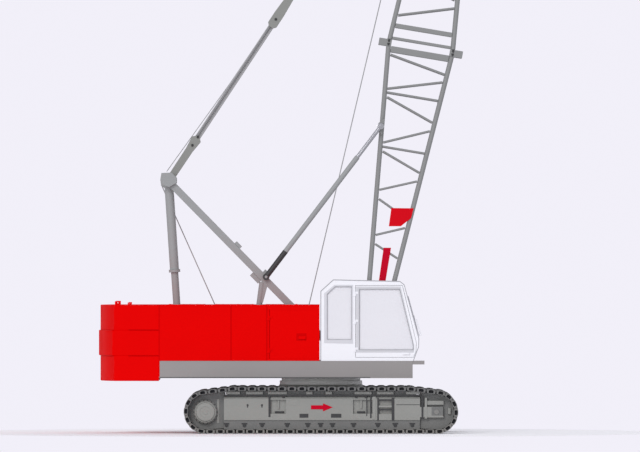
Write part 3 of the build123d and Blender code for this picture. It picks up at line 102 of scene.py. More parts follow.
camera_data = bpy.data.cameras.new("side_view")
camera_data.lens, camera_data.sensor_width = LENS, SENSOR
distance = PICTURE_WIDTH * PIXEL / 1000 * LENS / SENSOR
camera_data.clip_start, camera_data.clip_end = 1.0, distance * 4.0
camera = scene.camera = add_object("side_view", camera_data)
middle = at(-21.5, -1700, 4461)   # the picture's middle, on the crane's right face
camera.location = middle + Vector((0, -distance, 0))
camera.rotation_euler = (radians(90), 0, 0)
print("camera", round(distance, 1), "m away")

# %% [markdown]
# ## Studio
# A drawing has almost no shade, so the world is a pale lilac-white that lights from all
# sides. A broad key sun stands high behind the camera's left shoulder, a low one lights the
# side that the camera sees, and a third fills the far side. The floor is a pale disc, just
# large enough to catch the crane's soft shadow.

# %% Floor, world and lights
PAPER = (0.885, 0.868, 0.945)
scene.view_settings.view_transform = "Standard"

world = scene.world = bpy.data.worlds.new("paper")
world.use_nodes = True
tree = world.node_tree
tree.nodes.clear()
out, seen, lit, which, path = (tree.nodes.new("ShaderNode" + kind) for kind in (
    "OutputWorld", "Background", "Background", "MixShader", "LightPath"))
seen.inputs["Color"].default_value = (*PAPER, 1)
lit.inputs["Color"].default_value = (0.93, 0.93, 1.0, 1)
lit.inputs["Strength"].default_value = 0.62
tree.links.new(path.outputs["Is Camera Ray"], which.inputs["Fac"])
tree.links.new(lit.outputs[0], which.inputs[1])
tree.links.new(seen.outputs[0], which.inputs[2])
tree.links.new(which.outputs[0], out.inputs["Surface"])


def sun(name, energy, angle, aim):
    """A broad sun that shines along the given direction."""
    data = bpy.data.lights.new(name, "SUN")
    data.energy, data.angle = energy, radians(angle)
    lamp = add_object(name, data)
    lamp.rotation_mode = "QUATERNION"
    lamp.rotation_quaternion = Vector(aim).to_track_quat("-Z", "Y")


sun("key", 1.02, 25, (0.45, 1.0, -0.75))
sun("front", 0.47, 12, (0.35, 1.0, -0.03))
sun("fill", 0.6, 60, (-0.6, -1.0, -0.5))

bm = bmesh.new()
bmesh.ops.create_circle(bm, cap_ends=True, segments=96, radius=8.0)
floor_mesh = bpy.data.meshes.new("floor")
bm.to_mesh(floor_mesh)
bm.free()
add_object("floor", floor_mesh)


def new_material(name):
    """A new material, its node tree and the inputs of its Principled shader."""
    material = bpy.data.materials.new(name)
    material.use_nodes = True
    return material, material.node_tree, material.node_tree.nodes["Principled BSDF"].inputs


floor_paint, _, surface = new_material("floor_paint")
surface["Base Color"].default_value = (0.98, 0.975, 1.0, 1)
surface["Roughness"].default_value = 0.9
floor_mesh.materials.append(floor_paint)

# %% [markdown]
# ## Finishes
# Paint on a machine is never one flat colour. Three node groups carry that: `film` gives a
# slow drift of shade and a faint orange-peel surface, `dust` settles a dry bloom that thins
# out with height, and `wear` bares scuffed metal. Each material sets their strength.

# %% Node groups
def new_group(name, inputs, outputs):
    """An empty node group: inputs with their defaults, and outputs that are colours or numbers."""
    group = bpy.data.node_groups.new(name, "ShaderNodeTree")
    for label, value in inputs.items():
        kind = "NodeSocketColor" if isinstance(value, tuple) else "NodeSocketFloat"
        group.interface.new_socket(label, in_out="INPUT", socket_type=kind).default_value = value
    for label in outputs:
        kind = "NodeSocketColor" if label == "Color" else "NodeSocketFloat"
        group.interface.new_socket(label, in_out="OUTPUT", socket_type=kind)
    entry, leave = group.nodes.new("NodeGroupInput"), group.nodes.new("NodeGroupOutput")
    where = group.nodes.new("ShaderNodeTexCoord").outputs["Object"]
    return group, entry.outputs, leave.inputs, where


def feed(tree, inputs, values):
    """Feeds inputs, by name or number, from other sockets, numbers or colours without alpha."""
    for label, value in values.items():
        if isinstance(value, bpy.types.NodeSocket):
            tree.links.new(value, inputs[label])
        else:
            inputs[label].default_value = (*value, 1) if isinstance(value, tuple) else value


def math_node(tree, operation, first, second):
    """A Math node; a number or a socket may stand for either side."""
    node = tree.nodes.new("ShaderNodeMath")
    node.operation = operation
    feed(tree, node.inputs, {0: first, 1: second})
    return node.outputs[0]


def noise(tree, vector, scale, detail=3.0):
    """A cloudy pattern from 0 to 1."""
    node = tree.nodes.new("ShaderNodeTexNoise")
    feed(tree, node.inputs, {"Vector": vector, "Scale": scale, "Detail": detail})
    return node.outputs["Fac"]


def mix_colour(tree, factor, first, second):
    """A blend of two colours; the node's inputs 6 and 7 and its output 2 are the coloured ones."""
    node = tree.nodes.new("ShaderNodeMix")
    node.data_type = "RGBA"
    feed(tree, node.inputs, {0: factor, 6: first, 7: second})
    return node.outputs[2]


film, f_in, f_out, place = new_group(
    "film",
    {"Color": (0.5, 0.5, 0.5, 1), "Faded": (0.6, 0.6, 0.6, 1), "Drift": 0.3, "Patch Scale": 1.2,
     "Peel Scale": 60.0, "Roughness": 0.4},
    ("Color", "Roughness", "Height"))
patches = noise(film, place, f_in["Patch Scale"])
fine = noise(film, place, f_in["Peel Scale"], 4.0)
amount = math_node(film, "MULTIPLY", patches, f_in["Drift"])
spread = math_node(film, "MULTIPLY", math_node(film, "SUBTRACT", patches, 0.5), 0.35)
feed(film, f_out, {"Color": mix_colour(film, amount, f_in["Color"], f_in["Faded"]),
                   "Roughness": math_node(film, "ADD", f_in["Roughness"], spread), "Height": fine})

dust, d_in, d_out, place = new_group(
    "dust",
    {"Color": (0.5, 0.5, 0.5, 1), "Dust": (0.42, 0.38, 0.33, 1), "Top": 1.5, "Strength": 0.4},
    ("Color",))
split = dust.nodes.new("ShaderNodeSeparateXYZ")
feed(dust, split.inputs, {0: place})
thinning = math_node(dust, "SUBTRACT", 1.0, math_node(dust, "DIVIDE", split.outputs["Z"], d_in["Top"]))
settled = math_node(dust, "MAXIMUM", thinning, 0.0)
cloud = noise(dust, place, 3.5, 6.0)
share = math_node(dust, "MULTIPLY", math_node(dust, "MULTIPLY", settled, cloud), d_in["Strength"])
feed(dust, d_out, {"Color": mix_colour(dust, share, d_in["Color"], d_in["Dust"])})

wear, w_in, w_out, place = new_group(
    "wear",
    {"Color": (0.5, 0.5, 0.5, 1), "Bare": (0.3, 0.3, 0.3, 1), "Roughness": 0.5, "Amount": 0.2, "Scale": 14.0},
    ("Color", "Roughness", "Metallic"))
scuffs = noise(wear, place, w_in["Scale"], 8.0)
edge_of = math_node(wear, "SUBTRACT", 0.8, math_node(wear, "MULTIPLY", w_in["Amount"], 0.5))
sharp = math_node(wear, "MULTIPLY", math_node(wear, "SUBTRACT", scuffs, edge_of), 14.0)
bare_mask = math_node(wear, "MINIMUM", math_node(wear, "MAXIMUM", sharp, 0.0), 1.0)
shine = math_node(wear, "SUBTRACT", w_in["Roughness"], math_node(wear, "MULTIPLY", bare_mask, 0.15))
feed(wear, w_out, {"Color": mix_colour(wear, bare_mask, w_in["Color"], w_in["Bare"]),
                   "Roughness": shine, "Metallic": bare_mask})
print("node groups:", [g.name for g in bpy.data.node_groups])

# %% [markdown]
# A finish joins those groups to one Principled shader: the film gives the colour, wear
# may bare some metal, dust may settle on it, and the film's fine grain becomes a bump.
# Each finish has a fresh and a faded colour from 0 to 255, which `linear` turns into the
# shader's scale. The panes are pale and nearly opaque, as a drawing shows glass: their colour
# is a painted sky reflection.
# Gloss is kept low, because the picture has no reflections to speak of.

# %% Finishes
def linear(red, green, blue):
    """A colour of the picture, 0 to 255, on the linear scale of the shaders."""
    shares = (red / 255, green / 255, blue / 255)
    return tuple(v / 12.92 if v <= 0.04045 else ((v + 0.055) / 1.055) ** 2.4 for v in shares)


def placed(tree, group, values):
    """A node group placed in a material with its own values or links."""
    node = tree.nodes.new("ShaderNodeGroup")
    node.node_tree = group
    feed(tree, node.inputs, values)
    return node.outputs


def finish(name, colour, faded, rough, drift=0.35, patch=1.2, peel=60.0, bump=0.06, gloss=0.2,
           bare=0.0, bare_scale=14.0, dirt=0.0, dirt_top=1.4, metal=0.0):
    """A finish with its own drift, wear and dust; its two colours go from 0 to 255."""
    material, tree, surface = new_material(name)
    skin = placed(tree, film, {"Color": linear(*colour), "Faded": linear(*faded), "Drift": drift,
                               "Patch Scale": patch, "Peel Scale": peel, "Roughness": rough})
    colour_out, rough_out = skin["Color"], skin["Roughness"]
    if bare:
        worn = placed(tree, wear, {"Color": colour_out, "Bare": (0.42, 0.41, 0.39), "Roughness": rough_out,
                                   "Amount": bare, "Scale": bare_scale})
        colour_out, rough_out = worn["Color"], worn["Roughness"]
        metal = worn["Metallic"]
    if dirt:
        colour_out = placed(tree, dust, {"Color": colour_out, "Strength": dirt, "Top": dirt_top})["Color"]
    relief = tree.nodes.new("ShaderNodeBump")
    feed(tree, relief.inputs, {"Strength": bump, "Distance": 0.01, "Height": skin["Height"]})
    feed(tree, surface, {"Base Color": colour_out, "Roughness": rough_out, "Metallic": metal,
                         "Normal": relief.outputs[0], "Specular IOR Level": gloss})
    return material


RED = finish("red_paint", (233, 3, 3), (216, 4, 6), 0.5, peel=90.0, bump=0.02, gloss=0.012)
BOARD = finish("board_red", (214, 8, 26), (200, 8, 24), 0.5, gloss=0.04)
DEEP_RED = finish("deep_red_paint", (196, 8, 40), (180, 8, 34), 0.5, gloss=0.04)
# painted shade for the joints of the house and of the counterweight
SEAM_SHADE = finish("seam_shadow", (210, 2, 4), (198, 2, 4), 0.7, gloss=0.01)
DECK = finish("deck_grey", (156, 152, 151), (142, 139, 139), 0.5, gloss=0.1, dirt=0.1, dirt_top=1.9)
FRAME = finish("frame_grey", (147, 148, 144), (131, 132, 128), 0.5, bump=0.1, dirt=0.3, dirt_top=0.9)
BOOM = finish("boom_grey", (146, 147, 146), (126, 127, 127), 0.42, patch=2.0)
LEG = finish("gantry_grey", (160, 162, 162), (148, 150, 150), 0.45, patch=2.0, gloss=0.1)
# painted light: the slewing ring is paler than its own grey, so that it reads lit in the shade under the deck
RING_LIT = finish("ring_painted_light", (246, 246, 244), (232, 232, 230), 0.5, gloss=0.1)
DARK_GREY = finish("dark_grey", (98, 98, 98), (82, 82, 82), 0.5, bump=0.1)
SHOE = finish("track_steel", (112, 112, 111), (98, 98, 97), 0.6, patch=3.0, peel=30.0, bump=0.3,
              bare=0.25, bare_scale=9.0, dirt=0.45, dirt_top=0.7)
# painted shade: the dark insides of the shoes' hollow ends
HOLLOW_SHADE = finish("hollow_painted_shade", (52, 52, 56), (44, 44, 48), 0.8, gloss=0.05)
GUARD = finish("guard_grey", (116, 117, 116), (100, 101, 101), 0.6, bump=0.1, dirt=0.2, dirt_top=0.9)
CAST = finish("cast_steel", (130, 130, 128), (110, 110, 108), 0.55, patch=4.0, bump=0.2, bare=0.15, dirt=0.3)
DARK = finish("dark_steel", (62, 62, 63), (48, 48, 49), 0.45, patch=4.0, bump=0.15, gloss=0.3)
BLACK = finish("black_rubber", (38, 38, 40), (50, 50, 52), 0.75, bump=0.15, gloss=0.3)
SEAL = finish("window_seal", (212, 212, 216), (202, 202, 206), 0.7, gloss=0.2)
WHITE = finish("white_paint", (246, 246, 250), (236, 236, 241), 0.3, peel=90.0, bump=0.02, gloss=0.25)
ROPE = finish("greased_rope", (172, 172, 173), (150, 150, 151), 0.5, peel=200.0, bump=0.4, gloss=0.4)
PALE_SEAL = finish("pale_seal", (216, 216, 221), (208, 208, 213), 0.7, gloss=0.1)
LINE = finish("grey_bead", (178, 178, 182), (166, 166, 170), 0.7, gloss=0.1)
CHROME = finish("polished_rod", (190, 190, 194), (175, 175, 180), 0.18, gloss=0.5, metal=0.8, bump=0.01)
YELLOW = finish("hook_yellow", (236, 178, 20), (214, 158, 16), 0.42, bare=0.12, gloss=0.2)
TRIM = finish("seat_vinyl", (52, 52, 56), (66, 66, 70), 0.6, peel=300.0, bump=0.35, gloss=0.3)

GLASS, tree, surface = new_material("window_glass")
# painted reflection: the panes' colour is a pale, drifting sky
painted_sky_reflection = placed(tree, film, {
    "Color": linear(244, 243, 247), "Faded": linear(232, 232, 238), "Drift": 0.5, "Patch Scale": 0.8,
    "Peel Scale": 4.0, "Roughness": 0.08})
feed(tree, surface, {"Base Color": painted_sky_reflection["Color"], "Roughness": painted_sky_reflection["Roughness"], "Alpha": 0.9,
                     "Specular IOR Level": 0.4})
print("finishes:", len(bpy.data.materials))

# %% [markdown]
# ## Working with meshes
# A few helpers carry the whole model. `slab`, `rod`, `sheet_of` and `turned` start from a
# cube, a cone, an outline or a spun profile and round the edges, because an edge without a
# bevel never catches light. All take the drawing's millimetres. `dress` turns a bmesh into
# a finished piece.

# %% Mesh helpers
def bevel(bm, edges, width):
    """Rounds edges by a width in millimetres."""
    if width:
        bmesh.ops.bevel(bm, geom=edges, offset=width / 1000, offset_type="OFFSET", segments=2, profile=0.5,
                        affect="EDGES", material=-1, clamp_overlap=True)


def edges_of(verts):
    """All the edges that meet in some vertices."""
    return list({e for v in verts for e in v.link_edges})


def slab(bm, corner, other, edge=4.0):
    """A block between two opposite corners, in any order, with rounded edges."""
    a, b = (at(*ends) for ends in zip(*(sorted(pair) for pair in zip(corner, other))))
    place = Matrix.Translation((a + b) / 2) @ Matrix.Diagonal((*(b - a), 1))
    bevel(bm, edges_of(bmesh.ops.create_cube(bm, size=1.0, matrix=place)["verts"]), edge)


def rod(bm, start, end, radius, edge=2.0, segments=20):
    """A round bar between two points with rounded ends; six segments make a hexagon head."""
    a, b = at(*start), at(*end)
    turn = (b - a).to_track_quat("Z", "Y").to_matrix().to_4x4()
    size = radius / 1000
    made = bmesh.ops.create_cone(bm, cap_ends=True, segments=segments, radius1=size, radius2=size,
                                 depth=(b - a).length, matrix=Matrix.Translation((a + b) / 2) @ turn)["verts"]
    bevel(bm, [e for e in edges_of(made) if any(len(f.verts) > 4 for f in e.link_faces)], edge)


def stud(bm, spot, y, other_y, radius, edge=0.0, segments=6):
    """A rod straight across the crane at an (x, z) spot, by default a hexagon head."""
    rod(bm, (spot[0], y, spot[1]), (spot[0], other_y, spot[1]), radius, edge=edge, segments=segments)


def turned(bm, profile, centre, steps=48):
    """Spins a closed profile of (radius, y) points in millimetres round a line across the crane."""
    x, z = centre
    made = [bm.verts.new(at(x + r, y, z)) for r, y in profile]
    edges = [bm.edges.new(pair) for pair in zip(made, made[1:] + made[:1])]
    bmesh.ops.spin(bm, geom=made + edges, cent=at(x, 0, z), axis=(0, 1, 0), angle=2 * pi, steps=steps,
                   use_merge=True)


def mirrored(half_side, y=0.0):
    """A closed profile from the (radius, offset) points of its low half, mirrored at y."""
    return [(r, y + w) for r, w in half_side] + [(r, y - w) for r, w in reversed(half_side)]


def facing(side, y, points):
    """Profile points whose offsets from y grow outwards on the given side."""
    return [(r, y + side * w) for r, w in points]


def around(centre, radius, count, first=0.0):
    """Points spread evenly on a circle, the first one a share of a step round."""
    turns = [2 * pi * (i + first) / count for i in range(count)]
    return [(centre[0] + radius * cos(t), centre[1] + radius * sin(t)) for t in turns]


def sheet_of(bm, outline, y, other_y, edge=4.0):
    """A plate with an outline of (x, z) points, extruded across the crane and rounded."""
    low_y, high_y = sorted((y, other_y))
    face = bm.faces.new([bm.verts.new(at(x, low_y, z)) for x, z in outline])
    grown = bmesh.ops.extrude_face_region(bm, geom=[face], use_keep_orig=True)["geom"]
    tops = [v for v in grown if isinstance(v, bmesh.types.BMVert)]
    bmesh.ops.translate(bm, vec=(0, (high_y - low_y) / 1000, 0), verts=tops)
    bevel(bm, edges_of(list(face.verts) + tops), edge)


def stamp(bm, mesh, matrix):
    """Adds a copy of a small mesh to a bmesh, moved by a matrix."""
    before = len(bm.verts)
    bm.from_mesh(mesh)
    bm.verts.ensure_lookup_table()
    bmesh.ops.transform(bm, matrix=matrix, verts=bm.verts[before:])


def mesh_of(bm, name, sharp=40.0):
    """Closes a bmesh into a mesh whose gentle edges are smooth and whose corners stay sharp."""
    bmesh.ops.remove_doubles(bm, verts=bm.verts, dist=1e-6)
    bmesh.ops.recalc_face_normals(bm, faces=bm.faces)
    for face in bm.faces:
        face.smooth = True
    for edge in bm.edges:
        edge.smooth = edge.is_manifold and edge.calc_face_angle(0.0) < radians(sharp)
    mesh = bpy.data.meshes.new(name)
    bm.to_mesh(mesh)
    bm.free()
    return mesh


def dress(name, bm, body, slot, materials, replaces=(), sharp=40.0):
    """Turns a bmesh into a piece that rides on a body, if one is named, and may stand for CAD nodes."""
    mesh = mesh_of(bm, name, sharp)
    for material in materials if isinstance(materials, (list, tuple)) else [materials]:
        mesh.materials.append(material)
    piece = add_object(name, mesh)
    if body:
        shade = piece.modifiers.new("even_shade", "WEIGHTED_NORMAL")
        shade.keep_sharp = True
        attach(piece, body)
    if replaces:
        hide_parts(*replaces)
    count = sum(len(p.vertices) - 2 for p in mesh.polygons)
    print(f"{name}: {count} triangles on {body}")
    return piece


def both_sides(make):
    """Makes a right-hand shape and its twin on the left, with side -1 and then 1."""
    bm = bmesh.new()
    for side in (-1, 1):
        make(bm, side)
    return bm


print("mesh helpers ready")

# %% [markdown]
# ## The steel, drawn again
# A CAD file gives round bars flat sides and plates knife-sharp edges. Each node below is
# copied, its triangles are merged back into flat faces, and every many-sided bar among
# its solids is measured and made again as a smooth rod. What is left gets a small bevel.
# The copy then stands for the node, and MuJoCo keeps the plain solid.

# %% Redrawing a node
FLAT, CORNER = radians(0.6), radians(50)   # faces merge below the first, edges round above the second
home = {node: body for body, members in frame["record"]["behaviour"]["bodies"].items() for node in members}
slot_of = {part["node"]: part["material_slot"] for part in frame["record"]["subparts"]}


def solids_of(bm):
    """The separate solids of a mesh, each as a list of its faces."""
    seen = set()
    for first in bm.faces:
        if first in seen:
            continue
        seen.add(first)
        found = [first]
        for face in found:
            for edge in face.edges:
                for other in edge.link_faces:
                    if other not in seen:
                        seen.add(other)
                        found.append(other)
        yield found


def bar_of(faces):
    """The ends and radius of a round bar drawn with flat sides, or None for another shape."""
    caps = [face for face in faces if len(face.verts) >= 8]
    if len(caps) != 2 or len(faces) != len(caps[0].verts) + 2:
        return None
    a, b = (cap.calc_center_median() for cap in caps)
    axis = (b - a).normalized()
    spread = [(v.co - a).length for v in caps[0].verts]
    if max(spread) - min(spread) > 0.01 * max(spread) or abs(caps[0].normal.dot(axis)) < 0.999:
        return None
    return a, b, max(spread)


def in_mm(point):
    """A point of the frame as millimetres from the slewing axis."""
    return ((point.x - SLEW_X) * 1000, point.y * 1000, point.z * 1000)


def redraw(node, material, edge, steps):
    """Stands for a CAD node with smooth rods for its bars and bevelled edges on the rest."""
    bm = bmesh.new()
    bm.from_mesh(nodes[node].data)
    bmesh.ops.remove_doubles(bm, verts=bm.verts, dist=1e-5)
    bmesh.ops.dissolve_limit(bm, angle_limit=FLAT, verts=bm.verts, edges=bm.edges)
    bars, gone = [], []
    for faces in solids_of(bm):
        found = bar_of(faces)
        if found:
            bars.append(found)
            gone += list({v for face in faces for v in face.verts})
    bmesh.ops.delete(bm, geom=gone, context="VERTS")
    bevel(bm, [e for e in bm.edges if e.is_manifold and e.calc_face_angle(0.0) > CORNER], edge)
    for a, b, radius in bars:
        rod(bm, in_mm(a), in_mm(b), radius * 1000, edge=min(edge, 3.0), segments=steps)
    return dress(node + "_drawn", bm, home[node], slot_of[node], material, replaces=(node,))


REDRAWN = [  # finish, bevel in mm, sides of its rods, nodes
    (FRAME, 5.0, 24, ["track_frames"]),
    (FRAME, 6.0, 24, ["carbody"]),
    (DECK, 4.0, 24, ["revolving_frame", "winch_stands"]),
    (DECK, 3.0, 24, ["side_decks"]),
    (RED, 10.0, 24, ["counterweight"]),
    (RED, 4.0, 16, ["house_right", "house_left"]),
    (RED, 5.0, 16, ["house_door_right", "house_door_left"]),
    (DARK_GREY, 8.0, 24, ["engine"]),
    (DECK, 16.0, 24, ["left_tank"]),
    (WHITE, 6.0, 16, ["cab_shell"]),
    (WHITE, 5.0, 16, ["cab_door"]),
    (TRIM, 14.0, 16, ["cab_fittings"]),
    (LEG, 5.0, 32, ["gantry_legs"]),
    (LEG, 4.0, 32, ["gantry_head"]),
    (DARK, 3.0, 32, ["backstop_buffers"]),
    (LEG, 2.0, 32, ["backstop_tubes"]),
    (CHROME, 3.0, 32, ["backstop_rods"]),
    (BOOM, 3.0, 28, ["boom_base_section", "boom_top_section"]),
    (BOOM, 0.0, 16, ["boom_base_lacing", "boom_top_lacing"]),
    (BOOM, 4.0, 20, ["boom_lugs"]),
    (BOOM, 4.0, 28, ["boom_head"]),
    (RING_LIT, 4.0, 24, ["slewing_ring", "slewing_race"]),
    (DARK, 2.0, 24, ["luffing_sheaves", "bridle_sheaves"]),
    (FRAME, 2.0, 24, ["luffing_links", "bridle"]),
    (ROPE, 0.0, 12, ["luffing_falls", "hoist_falls"]),
    (ROPE, 2.0, 16, ["pendants"]),
    (YELLOW, 6.0, 28, ["hook_block"]),
    (YELLOW, 9.0, 28, ["hook"]),
]
for material, edge, steps, members in REDRAWN:
    for node in members:
        redraw(node, material, edge, steps)

BOARD_FOOT = 4.4   # the red board is above this height in metres, the strip below it
marker = redraw("marker_plates", [DEEP_RED, BOARD], 1.5, 16)
for polygon in marker.data.polygons:
    polygon.material_index = int(polygon.center.z > BOARD_FOOT)

for node in ("cab_glass", "door_glass"):
    for each in nodes[node].material_slots:
        each.material = GLASS

# %% [markdown]
# ## Tracks
# A crawler crane walks on flat cast shoes, each bolted to a pair of chain links. One shoe
# is modelled once, with its pressed edges, its broad tread pad and its two links joined by
# a pin, and then stamped sixty times along the track's own line of runs and arcs.

# %% The line of a track
WHEEL_BASE, END_RADIUS, TRACK_HEIGHT, TOP_RUN = 4966.0, 465.0, 1010.0, 3800.0
TRACK_Y, SHOE_WIDTH, SHOE_COUNT = 1770.0, 760.0, 60
run_out, rise = (WHEEL_BASE - TOP_RUN) / 2, TRACK_HEIGHT - END_RADIUS
fall = atan2(rise, run_out) - asin(END_RADIUS / hypot(run_out, rise))
slope = hypot(run_out + END_RADIUS * sin(fall), END_RADIUS * (1 + cos(fall)) - TRACK_HEIGHT)
turn = (pi - fall) * END_RADIUS
RUNS = [(WHEEL_BASE, 0, 0), (turn, END_RADIUS, 0), (slope, 0, fall), (TOP_RUN, 0, fall), (slope, 0, 0),
        (turn, END_RADIUS, 0)]   # length, radius if it turns, kink at its end
PITCH = sum(run[0] for run in RUNS) / SHOE_COUNT


def on_track(distance):
    """Where the outside of the track is at a distance from under its rear wheel, and its heading."""
    x, z, heading = -WHEEL_BASE / 2, 0.0, 0.0
    for length, radius, kink in RUNS:
        step = min(distance, length)
        if radius:
            ahead = heading + step / radius
            x += radius * (sin(ahead) - sin(heading))
            z -= radius * (cos(ahead) - cos(heading))
            heading = ahead
        else:
            x, z = x + step * cos(heading), z + step * sin(heading)
        if distance <= length:
            break
        distance, heading = distance - length, heading + kink
    return x, z, heading


def shoe_place(distance, y):
    """The place of a shoe: its x along the track, its z outwards."""
    x, z, h = on_track(distance)
    turned_to = Matrix(((cos(h), 0, sin(h), 0), (0, -1, 0, 0), (sin(h), 0, -cos(h), 0), (0, 0, 0, 1)))
    return Matrix.Translation(at(x, y, z)) @ turned_to @ FROM_AXIS


FROM_AXIS = Matrix.Translation(-at(0, 0, 0))
print("shoe pitch", round(PITCH, 2), "mm")

# %% One shoe and its links
SHOE_GAP = 26.0   # between two shoes
half = (PITCH - SHOE_GAP) / 2
bm = bmesh.new()
tread = [(-half, -24), (-66, -6), (-34, 0), (34, 0), (66, -6), (half, -24), (half - 6, -86), (6 - half, -86)]
sheet_of(bm, tread, -SHOE_WIDTH / 2, SHOE_WIDTH / 2, edge=0)
ends = [face for face in bm.faces if len(face.verts) == len(tread)]
bmesh.ops.inset_individual(bm, faces=ends, thickness=0.012)
# the inside of each hollow end gets the painted shade
for face in ends:   # each end is hollow, with a dark inside
    to_middle = Matrix.Translation(-face.calc_center_median())
    bmesh.ops.scale(bm, vec=(0.62, 1, 1), verts=face.verts, space=to_middle)
    hollow = bmesh.ops.extrude_discrete_faces(bm, faces=[face])["faces"]
    bmesh.ops.translate(bm, vec=hollow[0].normal * -0.05, verts=hollow[0].verts)
    for inner in {f for v in hollow[0].verts for f in v.link_faces}:
        inner.material_index = 1
slab(bm, (-30, -112, -98), (PITCH / 2 + 20, -8, -18), edge=0)
slab(bm, (-PITCH / 2 - 20, 8, -98), (30, 112, -18), edge=0)
for side in (-1, 1):
    slab(bm, (-60, side * 250 - 60, -94), (60, side * 250 + 60, -84), edge=0)
rod(bm, (PITCH / 2 + 4, -126, -74), (PITCH / 2 + 4, 126, -74), 16, edge=0, segments=10)
shoe = mesh_of(bm, "one_shoe")
print("one shoe:", len(shoe.polygons), "faces")
for name, y in (("track_right", -TRACK_Y), ("track_left", TRACK_Y)):
    bm = bmesh.new()
    for i in range(SHOE_COUNT):
        stamp(bm, shoe, shoe_place((i + 0.5) * PITCH, y))
    dress(name + "_shoes", bm, "undercarriage", "track_shoes", [SHOE, HOLLOW_SHADE], replaces=(name,))

# %% [markdown]
# The wheels inside the track are turned parts, so each is a profile spun round its axle:
# the sprocket carries teeth cut from a plate and the drive's round cover, the idler has a
# broad rim on a dished web, and the rollers have a flange at each end of their tread.

# %% Sprockets
TEETH = 13
TOOTH = ((-0.42, 300), (-0.3, 304), (-0.17, 343), (0.17, 343), (0.3, 304), (0.42, 300))   # share, radius
REAR_WHEEL, FRONT_WHEEL = (-WHEEL_BASE / 2, END_RADIUS), (WHEEL_BASE / 2, END_RADIUS)
ROLLER_HEIGHT, CARRIER_HEIGHT, ROLLER_STEP = 241.0, 850.0, 440.0


def sprocket(bm, side):
    """The teeth and the drive's housing of one sprocket."""
    y = side * TRACK_Y
    teeth = []
    for tooth in range(TEETH):
        for share, radius in TOOTH:
            angle = 2 * pi * (tooth + share) / TEETH
            teeth.append((REAR_WHEEL[0] + radius * cos(angle), REAR_WHEEL[1] + radius * sin(angle)))
    for low, high in ((-118, -62), (62, 118)):
        sheet_of(bm, teeth, y + low, y + high, edge=5)
    housing = [(0.0, -170), (195, -170), (205, -150), (205, 60), (262, 70), (268, 130), (262, 196),
               (240, 210), (0.0, 210)]
    turned(bm, facing(side, y, housing), REAR_WHEEL, 64)


def hub_cover(bm, side):
    """The pale cover of the final drive, dished, with two circles of bolts."""
    y = side * TRACK_Y
    cover = [(0.0, 200), (232, 200), (236, 250), (228, 262), (205, 264), (196, 292), (186, 299), (120, 300),
             (112, 292), (60, 292), (52, 299), (0.0, 299)]
    turned(bm, facing(side, y, cover), REAR_WHEEL, 72)
    for count, radius, size, low, high in ((20, 217, 9, 256, 270), (12, 152, 8, 293, 300)):
        for spot in around(REAR_WHEEL, radius, count, 0.5):
            stud(bm, spot, y + side * low, y + side * high, size)


def rim_bolts(bm, side):
    """The dark nuts round the drive housing, just outside the cover."""
    y = side * TRACK_Y
    for spot in around(REAR_WHEEL, 251, 18):
        stud(bm, spot, y + side * 190, y + side * 228, 11, edge=1.5)


dress("sprockets_turned", both_sides(sprocket), "undercarriage", "dark_steel", CAST, replaces=("sprockets",))
dress("final_drive_covers", both_sides(hub_cover), "undercarriage", "dark_steel", FRAME)
dress("final_drive_nuts", both_sides(rim_bolts), "undercarriage", "dark_steel", DARK)


# %% Idlers and rollers
def idler(bm, side):
    """The front wheel and its axle."""
    y = side * TRACK_Y
    rim = [(100, -150), (128, -140), (150, -62), (270, -58), (284, -146), (342, -148), (348, -142)]
    turned(bm, mirrored(rim, y), FRONT_WHEEL, 64)
    turned(bm, mirrored([(0.0, -268), (52, -268), (58, -262)], y), FRONT_WHEEL, 32)


def rollers(bm, side):
    """Nine rollers on the lower run and three that carry the upper one."""
    y = side * TRACK_Y
    lower = [(0.0, -199), (96, -199), (104, -190), (139, -186), (139, -160), (122, -148), (122, -46),
             (100, -38)]
    upper = [(0.0, -99), (52, -99), (59, -92), (59, -50), (48, -42)]
    for i in range(9):
        turned(bm, mirrored(lower, y), ((i - 4) * ROLLER_STEP, ROLLER_HEIGHT), 32)
    for x in (-1500.0, 0.0, 1500.0):
        turned(bm, mirrored(upper, y), (x, CARRIER_HEIGHT), 24)


dress("idlers_turned", both_sides(idler), "undercarriage", "dark_steel", CAST, replaces=("idlers",))
dress("rollers_turned", both_sides(rollers), "undercarriage", "dark_steel", CAST, replaces=("track_rollers",))

# %% [markdown]
# ## Side frames
# Seen from the side the track's loop is closed: chain guides fill the strips above and
# below the box frame, and round ones stand behind the sprocket and the idler. The
# places of the pads, pins and steps are read off the picture, so a small function turns
# its pixels into millimetres.

# %% Guides, guards and pads
FACE_Y = 2020.0   # outer face of a side frame
RUN_DEPTH = 91.0   # from the outside of the shoes to the guides
AXIS_COLUMN, GROUND_ROW = 321.0, 433.5   # the slewing axis and the ground in the picture
LOWER, ROUND_FRONT, ROUND_BACK = WHEEL_BASE, WHEEL_BASE + turn + slope, PITCH * SHOE_COUNT - turn - slope


def px(x, y):
    """A pixel of the picture as millimetres along and above the ground."""
    return (x - AXIS_COLUMN) * PIXEL, (GROUND_ROW - y) * PIXEL


def plates(bm, side, rows):
    """Blocks on a frame: two pixels, the depth behind its face, the height before it, the bevel."""
    for x0, y0, x1, y1, inner, proud, edge in rows:
        (low_x, low_z), (high_x, high_z) = px(x0, y0), px(x1, y1)
        slab(bm, (low_x, side * (FACE_Y - inner), low_z), (high_x, side * (FACE_Y + proud), high_z), edge)


def inside_line(first, last, steps):
    """Points on a line that runs inside the track, from one distance along it to another."""
    points = []
    for i in range(steps + 1):
        x, z, h = on_track(first + (last - first) * i / steps)
        points.append((x - RUN_DEPTH * sin(h), z + RUN_DEPTH * cos(h)))
    return points


